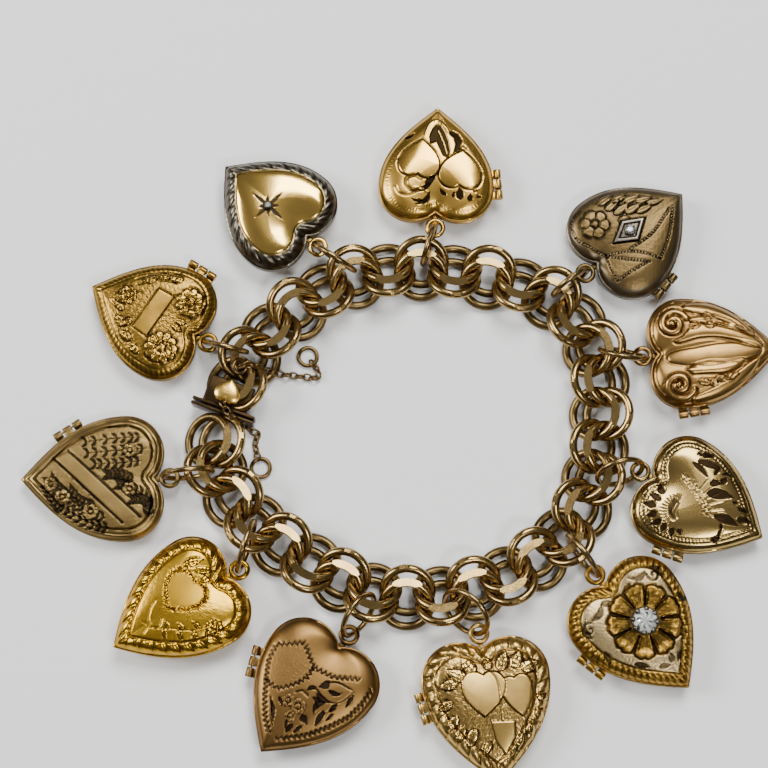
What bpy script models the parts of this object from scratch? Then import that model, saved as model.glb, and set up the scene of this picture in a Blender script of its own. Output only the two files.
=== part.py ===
# Charm bracelet: a loop of twin rings, eleven heart charms, a box clasp and two safety chains.
# It lies flat on the ground in a loop, seen from above, and the hearts point outwards.
# Nine hearts are lockets whose covers open on a hinge, and two are puffed hearts in one piece.

import math

import bmesh
import bpy
from mathutils import Matrix, Vector

MM = 0.001
GAP = 0.3 * MM

# Chain of twin rings: two rings of a pair touch, and each pair leans the other way
WIRE_D = 1.28 * MM
RING_D = 7.6 * MM
RING_TILT = math.radians(32)
PITCH = RING_D - 1.65 * WIRE_D
MATE_SLIDE = 0.93 * WIRE_D / math.sin(RING_TILT)
PAIRS = 33
CLASP_SPAN = 10.0 * MM
RING_SIDES = 10
WIRE_SIDES = 5

# Pairs at which a new body starts, and how much closer the chain is there, so the bodies stay apart
SLACK = {1: 0.5 * MM, 17: 0.5 * MM, 32: 0.9 * MM}
BODY_STARTS = sorted(SLACK)

# Route of the chain in plan, in millimetres, clockwise from the clasp
ROUTE = (
    (-27.9, 2.7), (-25.6, 7.6), (-22.6, 13.6), (-16.4, 19.5), (-7.0, 25.0), (3.6, 26.5), (14.9, 25.0),
    (25.1, 21.7), (31.8, 13.9), (33.0, 3.1), (31.7, -7.5), (27.2, -17.0), (18.3, -23.6), (7.1, -27.1),
    (-3.7, -26.6), (-13.3, -22.1), (-22.5, -15.5), (-28.6, -7.5), (-29.2, -2.5),
)

# Hearts: width, length, height, heading from bail to tip in degrees,
# pair that carries it, place of its bail along and out from that pair's centre,
# and the share of the length at which the hinge sits (none for a puffed heart)
HEARTS = {
    "a": dict(width=19.0, length=19.6, height=5.6, heading=88.6, pair=7, along=2.2, out=6.9, hinge=0.66),
    "b": dict(width=18.8, length=19.5, height=6.6, heading=138.5, pair=5, along=-4.2, out=6.6, hinge=None),
    "c": dict(width=19.3, length=20.2, height=5.4, heading=154.0, pair=1, along=-1.15, out=7.12, hinge=0.73),
    "d": dict(width=20.3, length=22.9, height=4.4, heading=180.8, pair=31, along=1.25, out=7.4, hinge=0.34),
    "e": dict(width=18.6, length=22.2, height=6.4, heading=-148.0, pair=29, along=-3.5, out=7.1, hinge=None),
    "f": dict(width=19.5, length=21.8, height=5.4, heading=-127.0, pair=25, along=1.98, out=7.4, hinge=0.49),
    "g": dict(width=20.3, length=22.5, height=5.4, heading=-82.5, pair=23, along=-5.0, out=6.7, hinge=0.58),
    "h": dict(width=19.4, length=21.9, height=5.6, heading=-51.3, pair=19, along=1.0, out=7.7, hinge=0.555),
    "i": dict(width=18.8, length=21.0, height=5.6, heading=-29.4, pair=17, along=-3.1, out=6.95, hinge=0.575),
    "j": dict(width=18.2, length=21.2, height=5.4, heading=3.0, pair=13, along=3.8, out=7.0, hinge=0.69),
    "k": dict(width=19.0, length=20.0, height=5.4, heading=39.4, pair=11, along=2.3, out=6.6, hinge=0.62),
}

# Colour, metallic value and roughness of each heart
HEART_COLOURS = {
    "a": (0.80, 0.56, 0.20, 0.30),
    "b": (0.78, 0.60, 0.30, 0.28),
    "c": (0.70, 0.50, 0.30, 0.42),
    "d": (0.52, 0.38, 0.20, 0.50),
    "e": (0.76, 0.55, 0.22, 0.34),
    "f": (0.68, 0.47, 0.32, 0.45),
    "g": (0.74, 0.54, 0.30, 0.40),
    "h": (0.66, 0.52, 0.30, 0.42),
    "i": (0.78, 0.58, 0.32, 0.32),
    "j": (0.72, 0.46, 0.30, 0.46),
    "k": (0.50, 0.38, 0.24, 0.48),
}

# Jump rings: place and height of the centre's grip on the pair, lean in degrees and mean radius
JUMP_WIRE_D = 0.85 * MM
JUMP_RINGS = {
    "a": dict(grip=0.8, reach=2.4, height=4.2, lean=0, radius=3.5),
    "b": dict(grip=-1.6, reach=3.2, height=5.0, lean=-10, radius=3.9),
    "c": dict(grip=0.0, reach=2.4, height=4.2, lean=-10, radius=3.5),
    "d": dict(grip=0.0, reach=2.4, height=4.6, lean=0, radius=3.9),
    "e": dict(grip=-1.6, reach=3.2, height=5.0, lean=0, radius=4.1),
    "f": dict(grip=0.0, reach=2.4, height=4.2, lean=20, radius=3.7),
    "g": dict(grip=-1.6, reach=2.4, height=4.2, lean=-30, radius=4.1),
    "h": dict(grip=0.0, reach=2.4, height=4.6, lean=0, radius=3.9),
    "i": dict(grip=-0.8, reach=3.2, height=4.2, lean=-20, radius=3.7),
    "j": dict(grip=1.6, reach=3.2, height=4.2, lean=20, radius=3.7),
    "k": dict(grip=0.8, reach=2.4, height=4.2, lean=0, radius=3.5),
}

# Shape of a heart: lobes, bands of the dome as shares of the outline and of the half's height
LOBE_SHARE = 0.30
OUTLINE_STEPS = 4
COVER_DOME = ((0.87, 0.66), (0.52, 1.0))
BACK_DOME = ((0.62, 1.0),)
RIM_SHARE = 0.24
HOLLOW_SHARE = 0.82
HOLLOW_DEPTH = 0.6 * MM

# Bail at the cleft
BAIL_R = 1.3 * MM
BAIL_WIRE_D = 0.8 * MM
BAIL_REACH = 0.95 * MM
PEG_WIDTH = 1.0 * MM

# Hinge of a locket
BARREL_LENGTH = 5.0 * MM
KNUCKLE_R = 0.62 * MM
BORE_R = 0.44 * MM
PIN_R = 0.15 * MM
TAB_THICKNESS = 0.4 * MM
TAB_INSET = 0.04 * MM
KNUCKLES = 3

# Clasp
PLATE_WIDTH = 10.6 * MM
PLATE_THICKNESS = 0.5 * MM
PLATE_HEIGHT = 3.4 * MM
PLATE_BOTTOM = 0.8 * MM
BOX_WIDTH = 7.6 * MM
BOX_DEPTH = 4.9 * MM
BOX_WALL = 0.6 * MM
TONGUE_WIDTH = 5.6 * MM
TONGUE_THICKNESS = 0.9 * MM
TONGUE_LENGTH = 3.7 * MM
STEM_SIZE = 0.9 * MM
STEM_PLACE = 3.15 * MM
THUMB_WIDTH = 4.2 * MM
THUMB_LENGTH = 3.9 * MM
THUMB_THICKNESS = 0.6 * MM

# Safety chains: fine chains that lie inside the loop, in millimetres in plan
SAFETY_R = 0.5 * MM
SAFETY_RING_R = 1.5 * MM
SAFETY_RING_WIRE_D = 0.7 * MM
SAFETY_UPPER = ((-17.4, 9.1), (-15.0, 8.8), (-12.9, 8.7), (-12.8, 9.8), (-13.6, 11.0))
SAFETY_LOWER = ((-22.4, -0.6), (-22.8, -2.1), (-22.6, -3.6), (-22.3, -4.7))


def clear_scene():
    for thing in list(bpy.data.objects):
        bpy.data.objects.remove(thing, do_unlink=True)


def make_collection(name):
    group = bpy.data.collections.new(name)
    bpy.context.scene.collection.children.link(group)
    return group


def make_material(name, red, green, blue, roughness, metallic=1.0):
    mat = bpy.data.materials.new(name)
    mat.use_nodes = True
    shader = mat.node_tree.nodes["Principled BSDF"]
    shader.inputs["Base Color"].default_value = (red, green, blue, 1.0)
    shader.inputs["Metallic"].default_value = metallic
    shader.inputs["Roughness"].default_value = roughness
    return mat


def mesh_object(name, bm):
    mesh = bpy.data.meshes.new(name)
    bm.to_mesh(mesh)
    bm.free()
    thing = bpy.data.objects.new(name, mesh)
    bpy.context.scene.collection.objects.link(thing)
    return thing


def torus_object(name, mean_radius, wire_d, place, turn=0.0):
    # The wire's corners stand out a little, so that its section keeps the round wire's area
    corner = wire_d / 2 * math.sqrt(math.pi / (WIRE_SIDES / 2 * math.sin(2 * math.pi / WIRE_SIDES)))
    bpy.ops.mesh.primitive_torus_add(
        major_segments=RING_SIDES,
        minor_segments=WIRE_SIDES,
        major_radius=mean_radius * 2 / (1 + math.cos(math.pi / RING_SIDES)),
        minor_radius=corner,
    )
    thing = bpy.context.object
    thing.name = name
    thing.data.transform(place @ Matrix.Rotation(turn, 4, "Z"))
    return thing


def box_object(name, low, high, place=Matrix.Identity(4)):
    low = Vector(low)
    high = Vector(high)
    bm = bmesh.new()
    bmesh.ops.create_cube(bm, size=1.0)
    bmesh.ops.scale(bm, vec=high - low, verts=bm.verts)
    bmesh.ops.translate(bm, vec=(low + high) / 2, verts=bm.verts)
    bmesh.ops.transform(bm, matrix=place, verts=bm.verts)
    return mesh_object(name, bm)


def cylinder_object(name, radius, start, end, sides, place=Matrix.Identity(4), top_radius=None):
    # A cylinder along Y from start to end
    bm = bmesh.new()
    bmesh.ops.create_cone(
        bm,
        cap_ends=True,
        segments=sides,
        radius1=radius,
        radius2=radius if top_radius is None else top_radius,
        depth=end - start,
    )
    turned = Matrix.Translation((0.0, (start + end) / 2, 0.0)) @ Matrix.Rotation(-math.pi / 2, 4, "X")
    bmesh.ops.transform(bm, matrix=place @ turned @ Matrix.Rotation(math.pi / sides, 4, "Z"), verts=bm.verts)
    return mesh_object(name, bm)


def combine(base, others, operation="UNION"):
    # Joins the others into the base, or cuts them away, and keeps the result as plain mesh
    for other in others:
        step = base.modifiers.new("Combine", "BOOLEAN")
        step.operation = operation
        step.solver = "EXACT"
        step.object = other
        bpy.context.view_layer.update()
        graph = bpy.context.evaluated_depsgraph_get()
        mesh = bpy.data.meshes.new_from_object(base.evaluated_get(graph))
        base.modifiers.clear()
        old = base.data
        base.data = mesh
        bpy.data.meshes.remove(old)
        bpy.data.objects.remove(other, do_unlink=True)
    return base


def merge_meshes(name, parts):
    # Puts objects that don't touch into one mesh
    bm = bmesh.new()
    for part in parts:
        bm.from_mesh(part.data)
        bpy.data.objects.remove(part, do_unlink=True)
    return mesh_object(name, bm)


def tidy_normals(thing):
    bm = bmesh.new()
    bm.from_mesh(thing.data)
    bmesh.ops.recalc_face_normals(bm, faces=bm.faces)
    bm.to_mesh(thing.data)
    bm.free()


def finish_piece(thing, name, mat, group):
    thing.name = name
    thing.data.name = name
    thing.data.materials.clear()
    thing.data.materials.append(mat)
    for old in list(thing.users_collection):
        old.objects.unlink(thing)
    group.objects.link(thing)
    thing.data.shade_smooth()
    thing.data.set_sharp_from_angle(angle=math.radians(40))
    return thing


# Route


def closed_curve(points, steps):
    # A smooth closed curve through the points
    out = []
    count = len(points)
    for index in range(count):
        p0, p1, p2, p3 = (Vector(points[(index + shift) % count]) for shift in (-1, 0, 1, 2))
        for step in range(steps):
            t = step / steps
            out.append(
                0.5 * (2 * p1 + (p2 - p0) * t + (2 * p0 - 5 * p1 + 4 * p2 - p3) * t * t
                       + (3 * p1 - p0 - 3 * p2 + p3) * t * t * t)
            )
    return out


def pair_place(pair):
    return CLASP_SPAN / 2 + pair * PITCH - sum(SLACK[start] for start in BODY_STARTS if pair >= start)


LOOP_LENGTH = CLASP_SPAN + (PAIRS - 1) * PITCH - sum(SLACK.values())
curve_points = closed_curve(ROUTE, 60)
steps_between = [(curve_points[i - 1] - curve_points[i]).length for i in range(len(curve_points))]
steps_between = steps_between[1:] + steps_between[:1]
ROUTE_SCALE = LOOP_LENGTH / sum(steps_between)


def route_frame(place):
    # The frame at this distance along the route: X along it, Y outwards, Z up
    left = (place % LOOP_LENGTH) / ROUTE_SCALE
    index = 0
    while left > steps_between[index]:
        left -= steps_between[index]
        index += 1
    start = curve_points[index]
    end = curve_points[(index + 1) % len(curve_points)]
    along = (end - start).normalized()
    centre = (start + along * left) * ROUTE_SCALE
    frame = Matrix.Rotation(math.atan2(along.y, along.x), 4, "Z")
    return Matrix.Translation((centre.x, centre.y, 0.0)) @ frame


# Chain


def ring_in_pair(pair, upper, drop):
    side = 1 if pair % 2 else -1
    shift = -side if upper else side
    place = (
        route_frame(pair_place(pair))
        @ Matrix.Translation((0.0, shift * MATE_SLIDE / 2, drop))
        @ Matrix.Rotation(side * RING_TILT, 4, "X")
    )
    return torus_object("ring", RING_D / 2, WIRE_D, place, math.pi / RING_SIDES)


def ring_drop():
    # How far a leaning ring reaches below its centre
    ring = torus_object("ring", RING_D / 2, WIRE_D, Matrix.Rotation(RING_TILT, 4, "X"), math.pi / RING_SIDES)
    drop = -min(corner.co.z for corner in ring.data.vertices)
    bpy.data.objects.remove(ring, do_unlink=True)
    return drop


def ring_groups(pairs, drop):
    # Rings of one group don't touch each other, so each group is one body's worth of rings
    groups = []
    for parity in (0, 1):
        for upper in (True, False):
            rings = [ring_in_pair(pair, upper, drop) for pair in pairs if pair % 2 == parity]
            if rings:
                groups.append(merge_meshes("rings", rings))
    return groups


# Hearts


def heart_handles(width, length):
    # Right half of the outline: tip, widest point and cleft with their handles
    lobe = LOBE_SHARE * width
    lobe_x = width / 2 - lobe
    widest = Vector((width / 2, length - lobe))
    sweep = math.acos(-lobe_x / lobe)
    cleft = Vector((0.0, length - lobe + lobe * math.sin(sweep)))
    reach = 4 / 3 * math.tan(sweep / 4) * lobe
    arrive = cleft + Vector((math.sin(sweep), -math.cos(sweep))) * reach
    return {
        "tip": Vector((0.0, 0.0)),
        "tip_out": Vector((0.26 * width, 0.2 * length)),
        "widest_in": Vector((width / 2, 0.55 * (length - lobe))),
        "widest": widest,
        "widest_out": widest + Vector((0.0, reach)),
        "cleft_in": arrive,
        "cleft": cleft,
    }


def heart_prism(width, length, low, high):
    # A heart-shaped plate between two heights, from a flat filled curve
    marks = heart_handles(width, length)
    curve = bpy.data.curves.new("heart", "CURVE")
    curve.dimensions = "2D"
    curve.fill_mode = "BOTH"
    curve.extrude = (high - low) / 2
    curve.resolution_u = OUTLINE_STEPS
    spline = curve.splines.new("BEZIER")
    spline.bezier_points.add(3)
    spline.use_cyclic_u = True

    def mirrored(point):
        return Vector((-point.x, point.y))

    corners = (
        ("tip", mirrored(marks["tip_out"]), marks["tip_out"], False),
        ("widest", marks["widest_in"], marks["widest_out"], False),
        ("cleft", marks["cleft_in"], mirrored(marks["cleft_in"]), False),
        ("widest", mirrored(marks["widest_out"]), mirrored(marks["widest_in"]), True),
    )
    for point, (name, arrive, leave, flip) in zip(spline.bezier_points, corners):
        place = mirrored(marks[name]) if flip else marks[name]
        point.co = (place.x, place.y, 0.0)
        point.handle_left_type = "FREE"
        point.handle_right_type = "FREE"
        point.handle_left = (arrive.x, arrive.y, 0.0)
        point.handle_right = (leave.x, leave.y, 0.0)
    thing = bpy.data.objects.new("heart", curve)
    bpy.context.scene.collection.objects.link(thing)
    bpy.context.view_layer.update()
    graph = bpy.context.evaluated_depsgraph_get()
    mesh = bpy.data.meshes.new_from_object(thing.evaluated_get(graph))
    bm = bmesh.new()
    bm.from_mesh(mesh)
    bpy.data.objects.remove(thing, do_unlink=True)
    bpy.data.meshes.remove(mesh)
    bmesh.ops.remove_doubles(bm, verts=bm.verts, dist=0.001 * MM)
    for up in (1, -1):
        flats = [face for face in bm.faces if face.normal.z * up > 0.9]
        bmesh.ops.dissolve_faces(bm, faces=flats, use_verts=False)
    bmesh.ops.recalc_face_normals(bm, faces=bm.faces)
    bmesh.ops.translate(bm, vec=(0.0, 0.0, (low + high) / 2), verts=bm.verts)
    return bm


def flat_face(bm, up):
    return max((face for face in bm.faces if face.normal.z * up > 0.9), key=lambda face: face.calc_center_median().z * up)


def draw_out(bm, face, length, share, height):
    # Extrudes a heart-shaped face to a height and shrinks it about the heart's middle
    grown = bmesh.ops.extrude_discrete_faces(bm, faces=[face])["faces"][0]
    middle = Vector((0.0, 0.6 * length))
    for corner in grown.verts:
        corner.co.x = middle.x + (corner.co.x - middle.x) * share
        corner.co.y = middle.y + (corner.co.y - middle.y) * share
        corner.co.z = height
    return grown


def heart_half(name, width, length, middle, edge, top, up, hollow):
    # One half, from its edge at the middle plane to its outer face
    # up is 1 for the cover and -1 for the back
    height = top - edge
    rim = edge + RIM_SHARE * height
    bm = heart_prism(width, length, min(edge, rim), max(edge, rim))
    outer = flat_face(bm, up)
    before = 1.0
    for share, level in (COVER_DOME if up > 0 else BACK_DOME):
        outer = draw_out(bm, outer, length, share / before, edge + level * height)
        before = share
    if hollow:
        inner = flat_face(bm, -up)
        inner = draw_out(bm, inner, length, HOLLOW_SHARE, edge)
        draw_out(bm, inner, length, 1.0, edge + up * HOLLOW_DEPTH)
    bmesh.ops.recalc_face_normals(bm, faces=bm.faces)
    return mesh_object(name, bm)


def outline_side(width, length, height):
    # The left side of the outline at this distance from the tip
    bm = heart_prism(width, length, 0.0, MM)
    found = 0.0
    for edge in bm.edges:
        a, b = (corner.co for corner in edge.verts)
        if a.z > 0.0005 * MM or b.z > 0.0005 * MM:
            continue
        if (a.y - height) * (b.y - height) <= 0 and a.y != b.y and a.x + b.x < 0:
            found = min(found, a.x + (b.x - a.x) * (height - a.y) / (b.y - a.y))
    bm.free()
    return Vector((found, height))


def hinge_frame(width, length, share, middle):
    # Frame on the hinge's axis: Y along the axis towards the lobes, X into the heart, Z up
    spread = BARREL_LENGTH * 0.3
    lower = outline_side(width, length, share * length - spread)
    upper = outline_side(width, length, share * length + spread)
    mid = outline_side(width, length, share * length)
    along = (upper - lower).normalized()
    outward = Vector((-along.y, along.x))
    centre = mid + outward * (KNUCKLE_R + GAP)
    turn = math.atan2(-along.x, along.y)
    return Matrix.Translation((centre.x, centre.y, middle)) @ Matrix.Rotation(turn, 4, "Z")


def knuckle_spans():
    each = (BARREL_LENGTH - (KNUCKLES - 1) * GAP) / KNUCKLES
    starts = [-BARREL_LENGTH / 2 + index * (each + GAP) for index in range(KNUCKLES)]
    return [(start, start + each) for start in starts]


def hinge_parts(frame, own, up):
    # Knuckles of one half, with the tabs that hold them to its rim
    parts = []
    for index, (start, end) in enumerate(knuckle_spans()):
        if (index % 2 == 0) != own:
            continue
        parts.append(cylinder_object("knuckle", KNUCKLE_R, start, end, 8, frame))
        near = up * (GAP / 2 + TAB_INSET)
        far = up * (GAP / 2 + TAB_INSET + TAB_THICKNESS)
        reach = KNUCKLE_R + GAP + 1.0 * MM
        parts.append(box_object("tab", (0.25 * MM, start + TAB_INSET, min(near, far)), (reach, end - TAB_INSET, max(near, far)), frame))
    return parts


def bail_parts(length, cleft, middle):
    ring = torus_object("bail", BAIL_R, BAIL_WIRE_D, Matrix.Translation((0.0, length + BAIL_REACH, middle)))
    peg = box_object(
        "peg",
        (-PEG_WIDTH / 2, cleft - 0.9 * MM, middle - 0.95 * MM),
        (PEG_WIDTH / 2, length + BAIL_REACH - BAIL_R + 0.1 * MM, middle - GAP / 2 - TAB_INSET),
    )
    return [ring, peg]


def stone_parts(x, y, base, radius, collar):
    # A round cut stone with a table and eight facets in a low collar
    place = Matrix.Translation((x, y, 0.0)) @ Matrix.Rotation(math.pi / 2, 4, "X")
    parts = [cylinder_object("collar", collar, base - 0.5 * MM, base + 0.35 * MM, 8, place)]
    parts.append(
        cylinder_object("stone", radius, base + 0.2 * MM, base + 0.2 * MM + 0.42 * radius, 8, place, 0.56 * radius)
    )
    return parts


def flower_part(x, y, base, radius, petals):
    # A flower plate whose petals come from drawing in every second corner
    place = Matrix.Translation((x, y, 0.0)) @ Matrix.Rotation(math.pi / 2, 4, "X")
    thing = cylinder_object("flower", radius, base - 0.4 * MM, base + 0.25 * MM, 2 * petals)
    for index, corner in enumerate(thing.data.vertices):
        if (index // 2) % 2:
            corner.co.x *= 0.72
            corner.co.z *= 0.72
    thing.data.transform(place)
    return thing


def relief_parts(letter, width, length, top):
    # Raised work that is large enough to model as solid metal and stone
    if letter == "h":
        y = 0.62 * length
        return [flower_part(0.0, y, top, 4.2 * MM, 9)] + stone_parts(0.0, y, top + 0.2 * MM, 1.9 * MM, 2.2 * MM)
    if letter == "k":
        y = 0.60 * length
        plate = box_object(
            "plate",
            (-1.9 * MM, -1.9 * MM, top - 0.3 * MM),
            (1.9 * MM, 1.9 * MM, top + 0.3 * MM),
            Matrix.Translation((0.0, y, 0.0)) @ Matrix.Rotation(math.radians(40), 4, "Z"),
        )
        return [plate] + stone_parts(0.0, y, top + 0.15 * MM, 0.7 * MM, 0.9 * MM)
    if letter == "b":
        return stone_parts(0.0, 0.58 * length, top, 0.6 * MM, 0.8 * MM)
    return []


def charm_place(letter):
    # Tip of the heart at the origin of its frame, lobes towards Y
    spec = HEARTS[letter]
    bail = bail_place(letter)
    heading = math.radians(spec["heading"])
    tip = bail + Vector((math.cos(heading), math.sin(heading), 0.0)) * (spec["length"] * MM + BAIL_REACH)
    return Matrix.Translation((tip.x, tip.y, 0.0)) @ Matrix.Rotation(heading + math.pi / 2, 4, "Z")


def bail_place(letter):
    spec = HEARTS[letter]
    frame = route_frame(pair_place(spec["pair"]))
    return frame @ Vector((spec["along"] * MM, spec["out"] * MM, 0.0))


def make_heart(letter, group):
    spec = HEARTS[letter]
    width = spec["width"] * MM
    length = spec["length"] * MM
    height = spec["height"] * MM
    middle = height / 2
    cleft = heart_handles(width, length)["cleft"].y
    mat = make_material("heart_" + letter, *HEART_COLOURS[letter])
    holder = bpy.data.objects.new("charm_" + letter, None)
    holder.empty_display_size = 5 * MM
    group.objects.link(holder)
    if spec["hinge"] is None:
        # Both halves are soldered along the rim
        body = heart_half("body", width, length, middle, middle - 0.4 * MM, height, 1, False)
        lower = heart_half("lower", width, length, middle, middle - 0.2 * MM, 0.0, -1, False)
        combine(body, [lower] + bail_parts(length, cleft, middle) + relief_parts(letter, width, length, height))
        finish_piece(body, "puffed_heart_" + letter, mat, group)
        tidy_normals(body)
        body.parent = holder
    else:
        frame = hinge_frame(width, length, spec["hinge"], middle)
        back = heart_half("back", width, length, middle, middle - GAP / 2, 0.0, -1, True)
        pin = cylinder_object("pin", PIN_R, -BARREL_LENGTH / 2 + 0.5 * MM, BARREL_LENGTH / 2 - 0.5 * MM, 6, frame)
        combine(back, bail_parts(length, cleft, middle) + hinge_parts(frame, True, -1) + [pin])
        finish_piece(back, "locket_back_" + letter, mat, group)
        tidy_normals(back)
        back.parent = holder
        cover = heart_half("cover", width, length, middle, middle + GAP / 2, height, 1, False)
        combine(cover, hinge_parts(frame, False, 1))
        combine(cover, [cylinder_object("bore", BORE_R, -BARREL_LENGTH, BARREL_LENGTH, 8, frame)], "DIFFERENCE")
        raised = relief_parts(letter, width, length, height)
        if raised:
            combine(cover, raised)
        finish_piece(cover, "locket_cover_" + letter, mat, group)
        tidy_normals(cover)
        # The cover's origin lies on the hinge's axis, with its Y along it
        cover.data.transform(frame.inverted())
        cover.parent = holder
        cover.matrix_local = frame
    holder.matrix_world = charm_place(letter)
    return holder


def make_jump_ring(letter, group, mat):
    spec = HEARTS[letter]
    ring = JUMP_RINGS[letter]
    radius = ring["radius"] * MM
    lean = math.radians(ring["lean"])
    frame = route_frame(pair_place(spec["pair"]))
    bail = bail_place(letter)
    bail.z = spec["height"] * MM / 2
    grip = frame @ Vector((ring["grip"] * MM, ring["reach"] * MM, 0.0))
    inward = Vector((grip.x - bail.x, grip.y - bail.y, 0.0)).normalized()
    across = Vector((-inward.y, inward.x, 0.0))
    rise = Vector((0.0, 0.0, 1.0)) * math.cos(lean) + across * math.sin(lean)
    # The ring's wire passes through the middle of the bail
    sine = (bail.z - ring["height"] * MM) / (radius * math.cos(lean))
    cosine = -math.sqrt(1.0 - sine * sine)
    centre = bail - radius * (cosine * inward + sine * rise)
    place = Matrix((inward, rise, inward.cross(rise))).transposed().to_4x4()
    place.translation = centre
    thing = torus_object("ring", radius, JUMP_WIRE_D, place)
    return finish_piece(thing, "jump_ring_" + letter, mat, group)


# Clasp


def make_clasp(drop, chain_top, group, box_mat, thumb_mat):
    frame = route_frame(0.0)
    middle = PLATE_BOTTOM + PLATE_HEIGHT / 2
    face = GAP / 2
    plate_low = (face, -PLATE_WIDTH / 2, PLATE_BOTTOM)
    plate_high = (face + PLATE_THICKNESS, PLATE_WIDTH / 2, PLATE_BOTTOM + PLATE_HEIGHT)
    box_height = TONGUE_THICKNESS + 2 * GAP + 2 * BOX_WALL
    box = box_object("box", plate_low, plate_high, frame)
    body = box_object(
        "body",
        (face + 0.1 * MM, -BOX_WIDTH / 2, middle - box_height / 2),
        (face + BOX_DEPTH, BOX_WIDTH / 2, middle + box_height / 2),
        frame,
    )
    combine(box, [body] + ring_groups([0], drop))
    pocket = box_object(
        "pocket",
        (-MM, -TONGUE_WIDTH / 2 - GAP, middle - TONGUE_THICKNESS / 2 - GAP),
        (TONGUE_LENGTH + 2 * GAP, TONGUE_WIDTH / 2 + GAP, middle + TONGUE_THICKNESS / 2 + GAP),
        frame,
    )
    notch = box_object(
        "notch",
        (STEM_PLACE - STEM_SIZE / 2 - GAP, -STEM_SIZE / 2 - GAP, middle),
        (STEM_PLACE + STEM_SIZE / 2 + GAP, STEM_SIZE / 2 + GAP, middle + box_height / 2 + 0.1 * MM),
        frame,
    )
    combine(box, [pocket, notch], "DIFFERENCE")
    finish_piece(box, "clasp_box", box_mat, group)
    tidy_normals(box)

    # The tongue side is a mirror image of the box's plate, with the tongue in the pocket
    tongue = box_object("tongue", (-plate_high[0], plate_low[1], plate_low[2]), (-face, plate_high[1], plate_high[2]), frame)
    blade = box_object(
        "blade",
        (-face - PLATE_THICKNESS / 2, -TONGUE_WIDTH / 2, middle - TONGUE_THICKNESS / 2),
        (TONGUE_LENGTH, TONGUE_WIDTH / 2, middle + TONGUE_THICKNESS / 2),
        frame,
    )
    thumb_low = chain_top + 0.5 * GAP
    stem = box_object(
        "stem",
        (STEM_PLACE - STEM_SIZE / 2, -STEM_SIZE / 2, middle),
        (STEM_PLACE + STEM_SIZE / 2, STEM_SIZE / 2, thumb_low + THUMB_THICKNESS / 2),
        frame,
    )
    bm = heart_prism(THUMB_WIDTH, THUMB_LENGTH, thumb_low, thumb_low + THUMB_THICKNESS)
    thumb_tip = Matrix.Translation((STEM_PLACE + 0.45 * THUMB_LENGTH, 0.0, 0.0))
    thumb_place = frame @ thumb_tip @ Matrix.Rotation(math.pi / 2, 4, "Z")
    bmesh.ops.transform(bm, matrix=thumb_place, verts=bm.verts)
    combine(tongue, [blade, stem, mesh_object("thumb", bm)] + ring_groups([PAIRS - 1], drop))
    finish_piece(tongue, "clasp_tongue", thumb_mat, group)
    tidy_normals(tongue)


def make_safety_chain(name, points, group, mat):
    # A tube along the chain's route, with the loose end ring beyond it
    curve = bpy.data.curves.new(name, "CURVE")
    curve.dimensions = "3D"
    curve.bevel_depth = SAFETY_R
    curve.bevel_resolution = 2
    curve.use_fill_caps = True
    spline = curve.splines.new("POLY")
    places = [Vector((x, y, 0.0)) * MM * ROUTE_SCALE / MM for x, y in points]
    spline.points.add(len(places) - 1)
    for point, place in zip(spline.points, places):
        point.co = (place.x, place.y, SAFETY_R, 1.0)
    thing = bpy.data.objects.new(name, curve)
    bpy.context.scene.collection.objects.link(thing)
    bpy.context.view_layer.update()
    graph = bpy.context.evaluated_depsgraph_get()
    mesh = bpy.data.meshes.new_from_object(thing.evaluated_get(graph))
    bpy.data.objects.remove(thing, do_unlink=True)
    bm = bmesh.new()
    bm.from_mesh(mesh)
    bmesh.ops.remove_doubles(bm, verts=bm.verts, dist=0.001 * MM)
    bmesh.ops.recalc_face_normals(bm, faces=bm.faces)
    tube = mesh_object(name, bm)
    last = places[-1]
    ahead = (places[-1] - places[-2]).normalized()
    centre = last + ahead * SAFETY_RING_R
    place = Matrix.Translation((centre.x, centre.y, SAFETY_RING_WIRE_D / 2 * 1.15))
    ring = torus_object("end", SAFETY_RING_R, SAFETY_RING_WIRE_D, place)
    combine(tube, [ring])
    finish_piece(tube, name, mat, group)
    tidy_normals(tube)
    return tube


def settle(group):
    # Moves everything so that the origin is under the middle of the bracelet
    bpy.context.view_layer.update()
    corners = []
    for thing in group.objects:
        if thing.type == "MESH":
            corners += [thing.matrix_world @ corner.co for corner in thing.data.vertices]
    low = Vector([min(corner[axis] for corner in corners) for axis in range(3)])
    high = Vector([max(corner[axis] for corner in corners) for axis in range(3)])
    shift = Vector(((low.x + high.x) / 2, (low.y + high.y) / 2, low.z))
    for thing in group.objects:
        if thing.parent is None:
            thing.location -= shift
    bpy.context.view_layer.update()
    for thing in group.objects:
        # Fixed pieces without a holder keep their origin under the bracelet's middle
        if thing.parent is None and thing.type == "MESH":
            thing.data.transform(Matrix.Translation(thing.location))
            thing.location = (0.0, 0.0, 0.0)
    return shift


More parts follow.
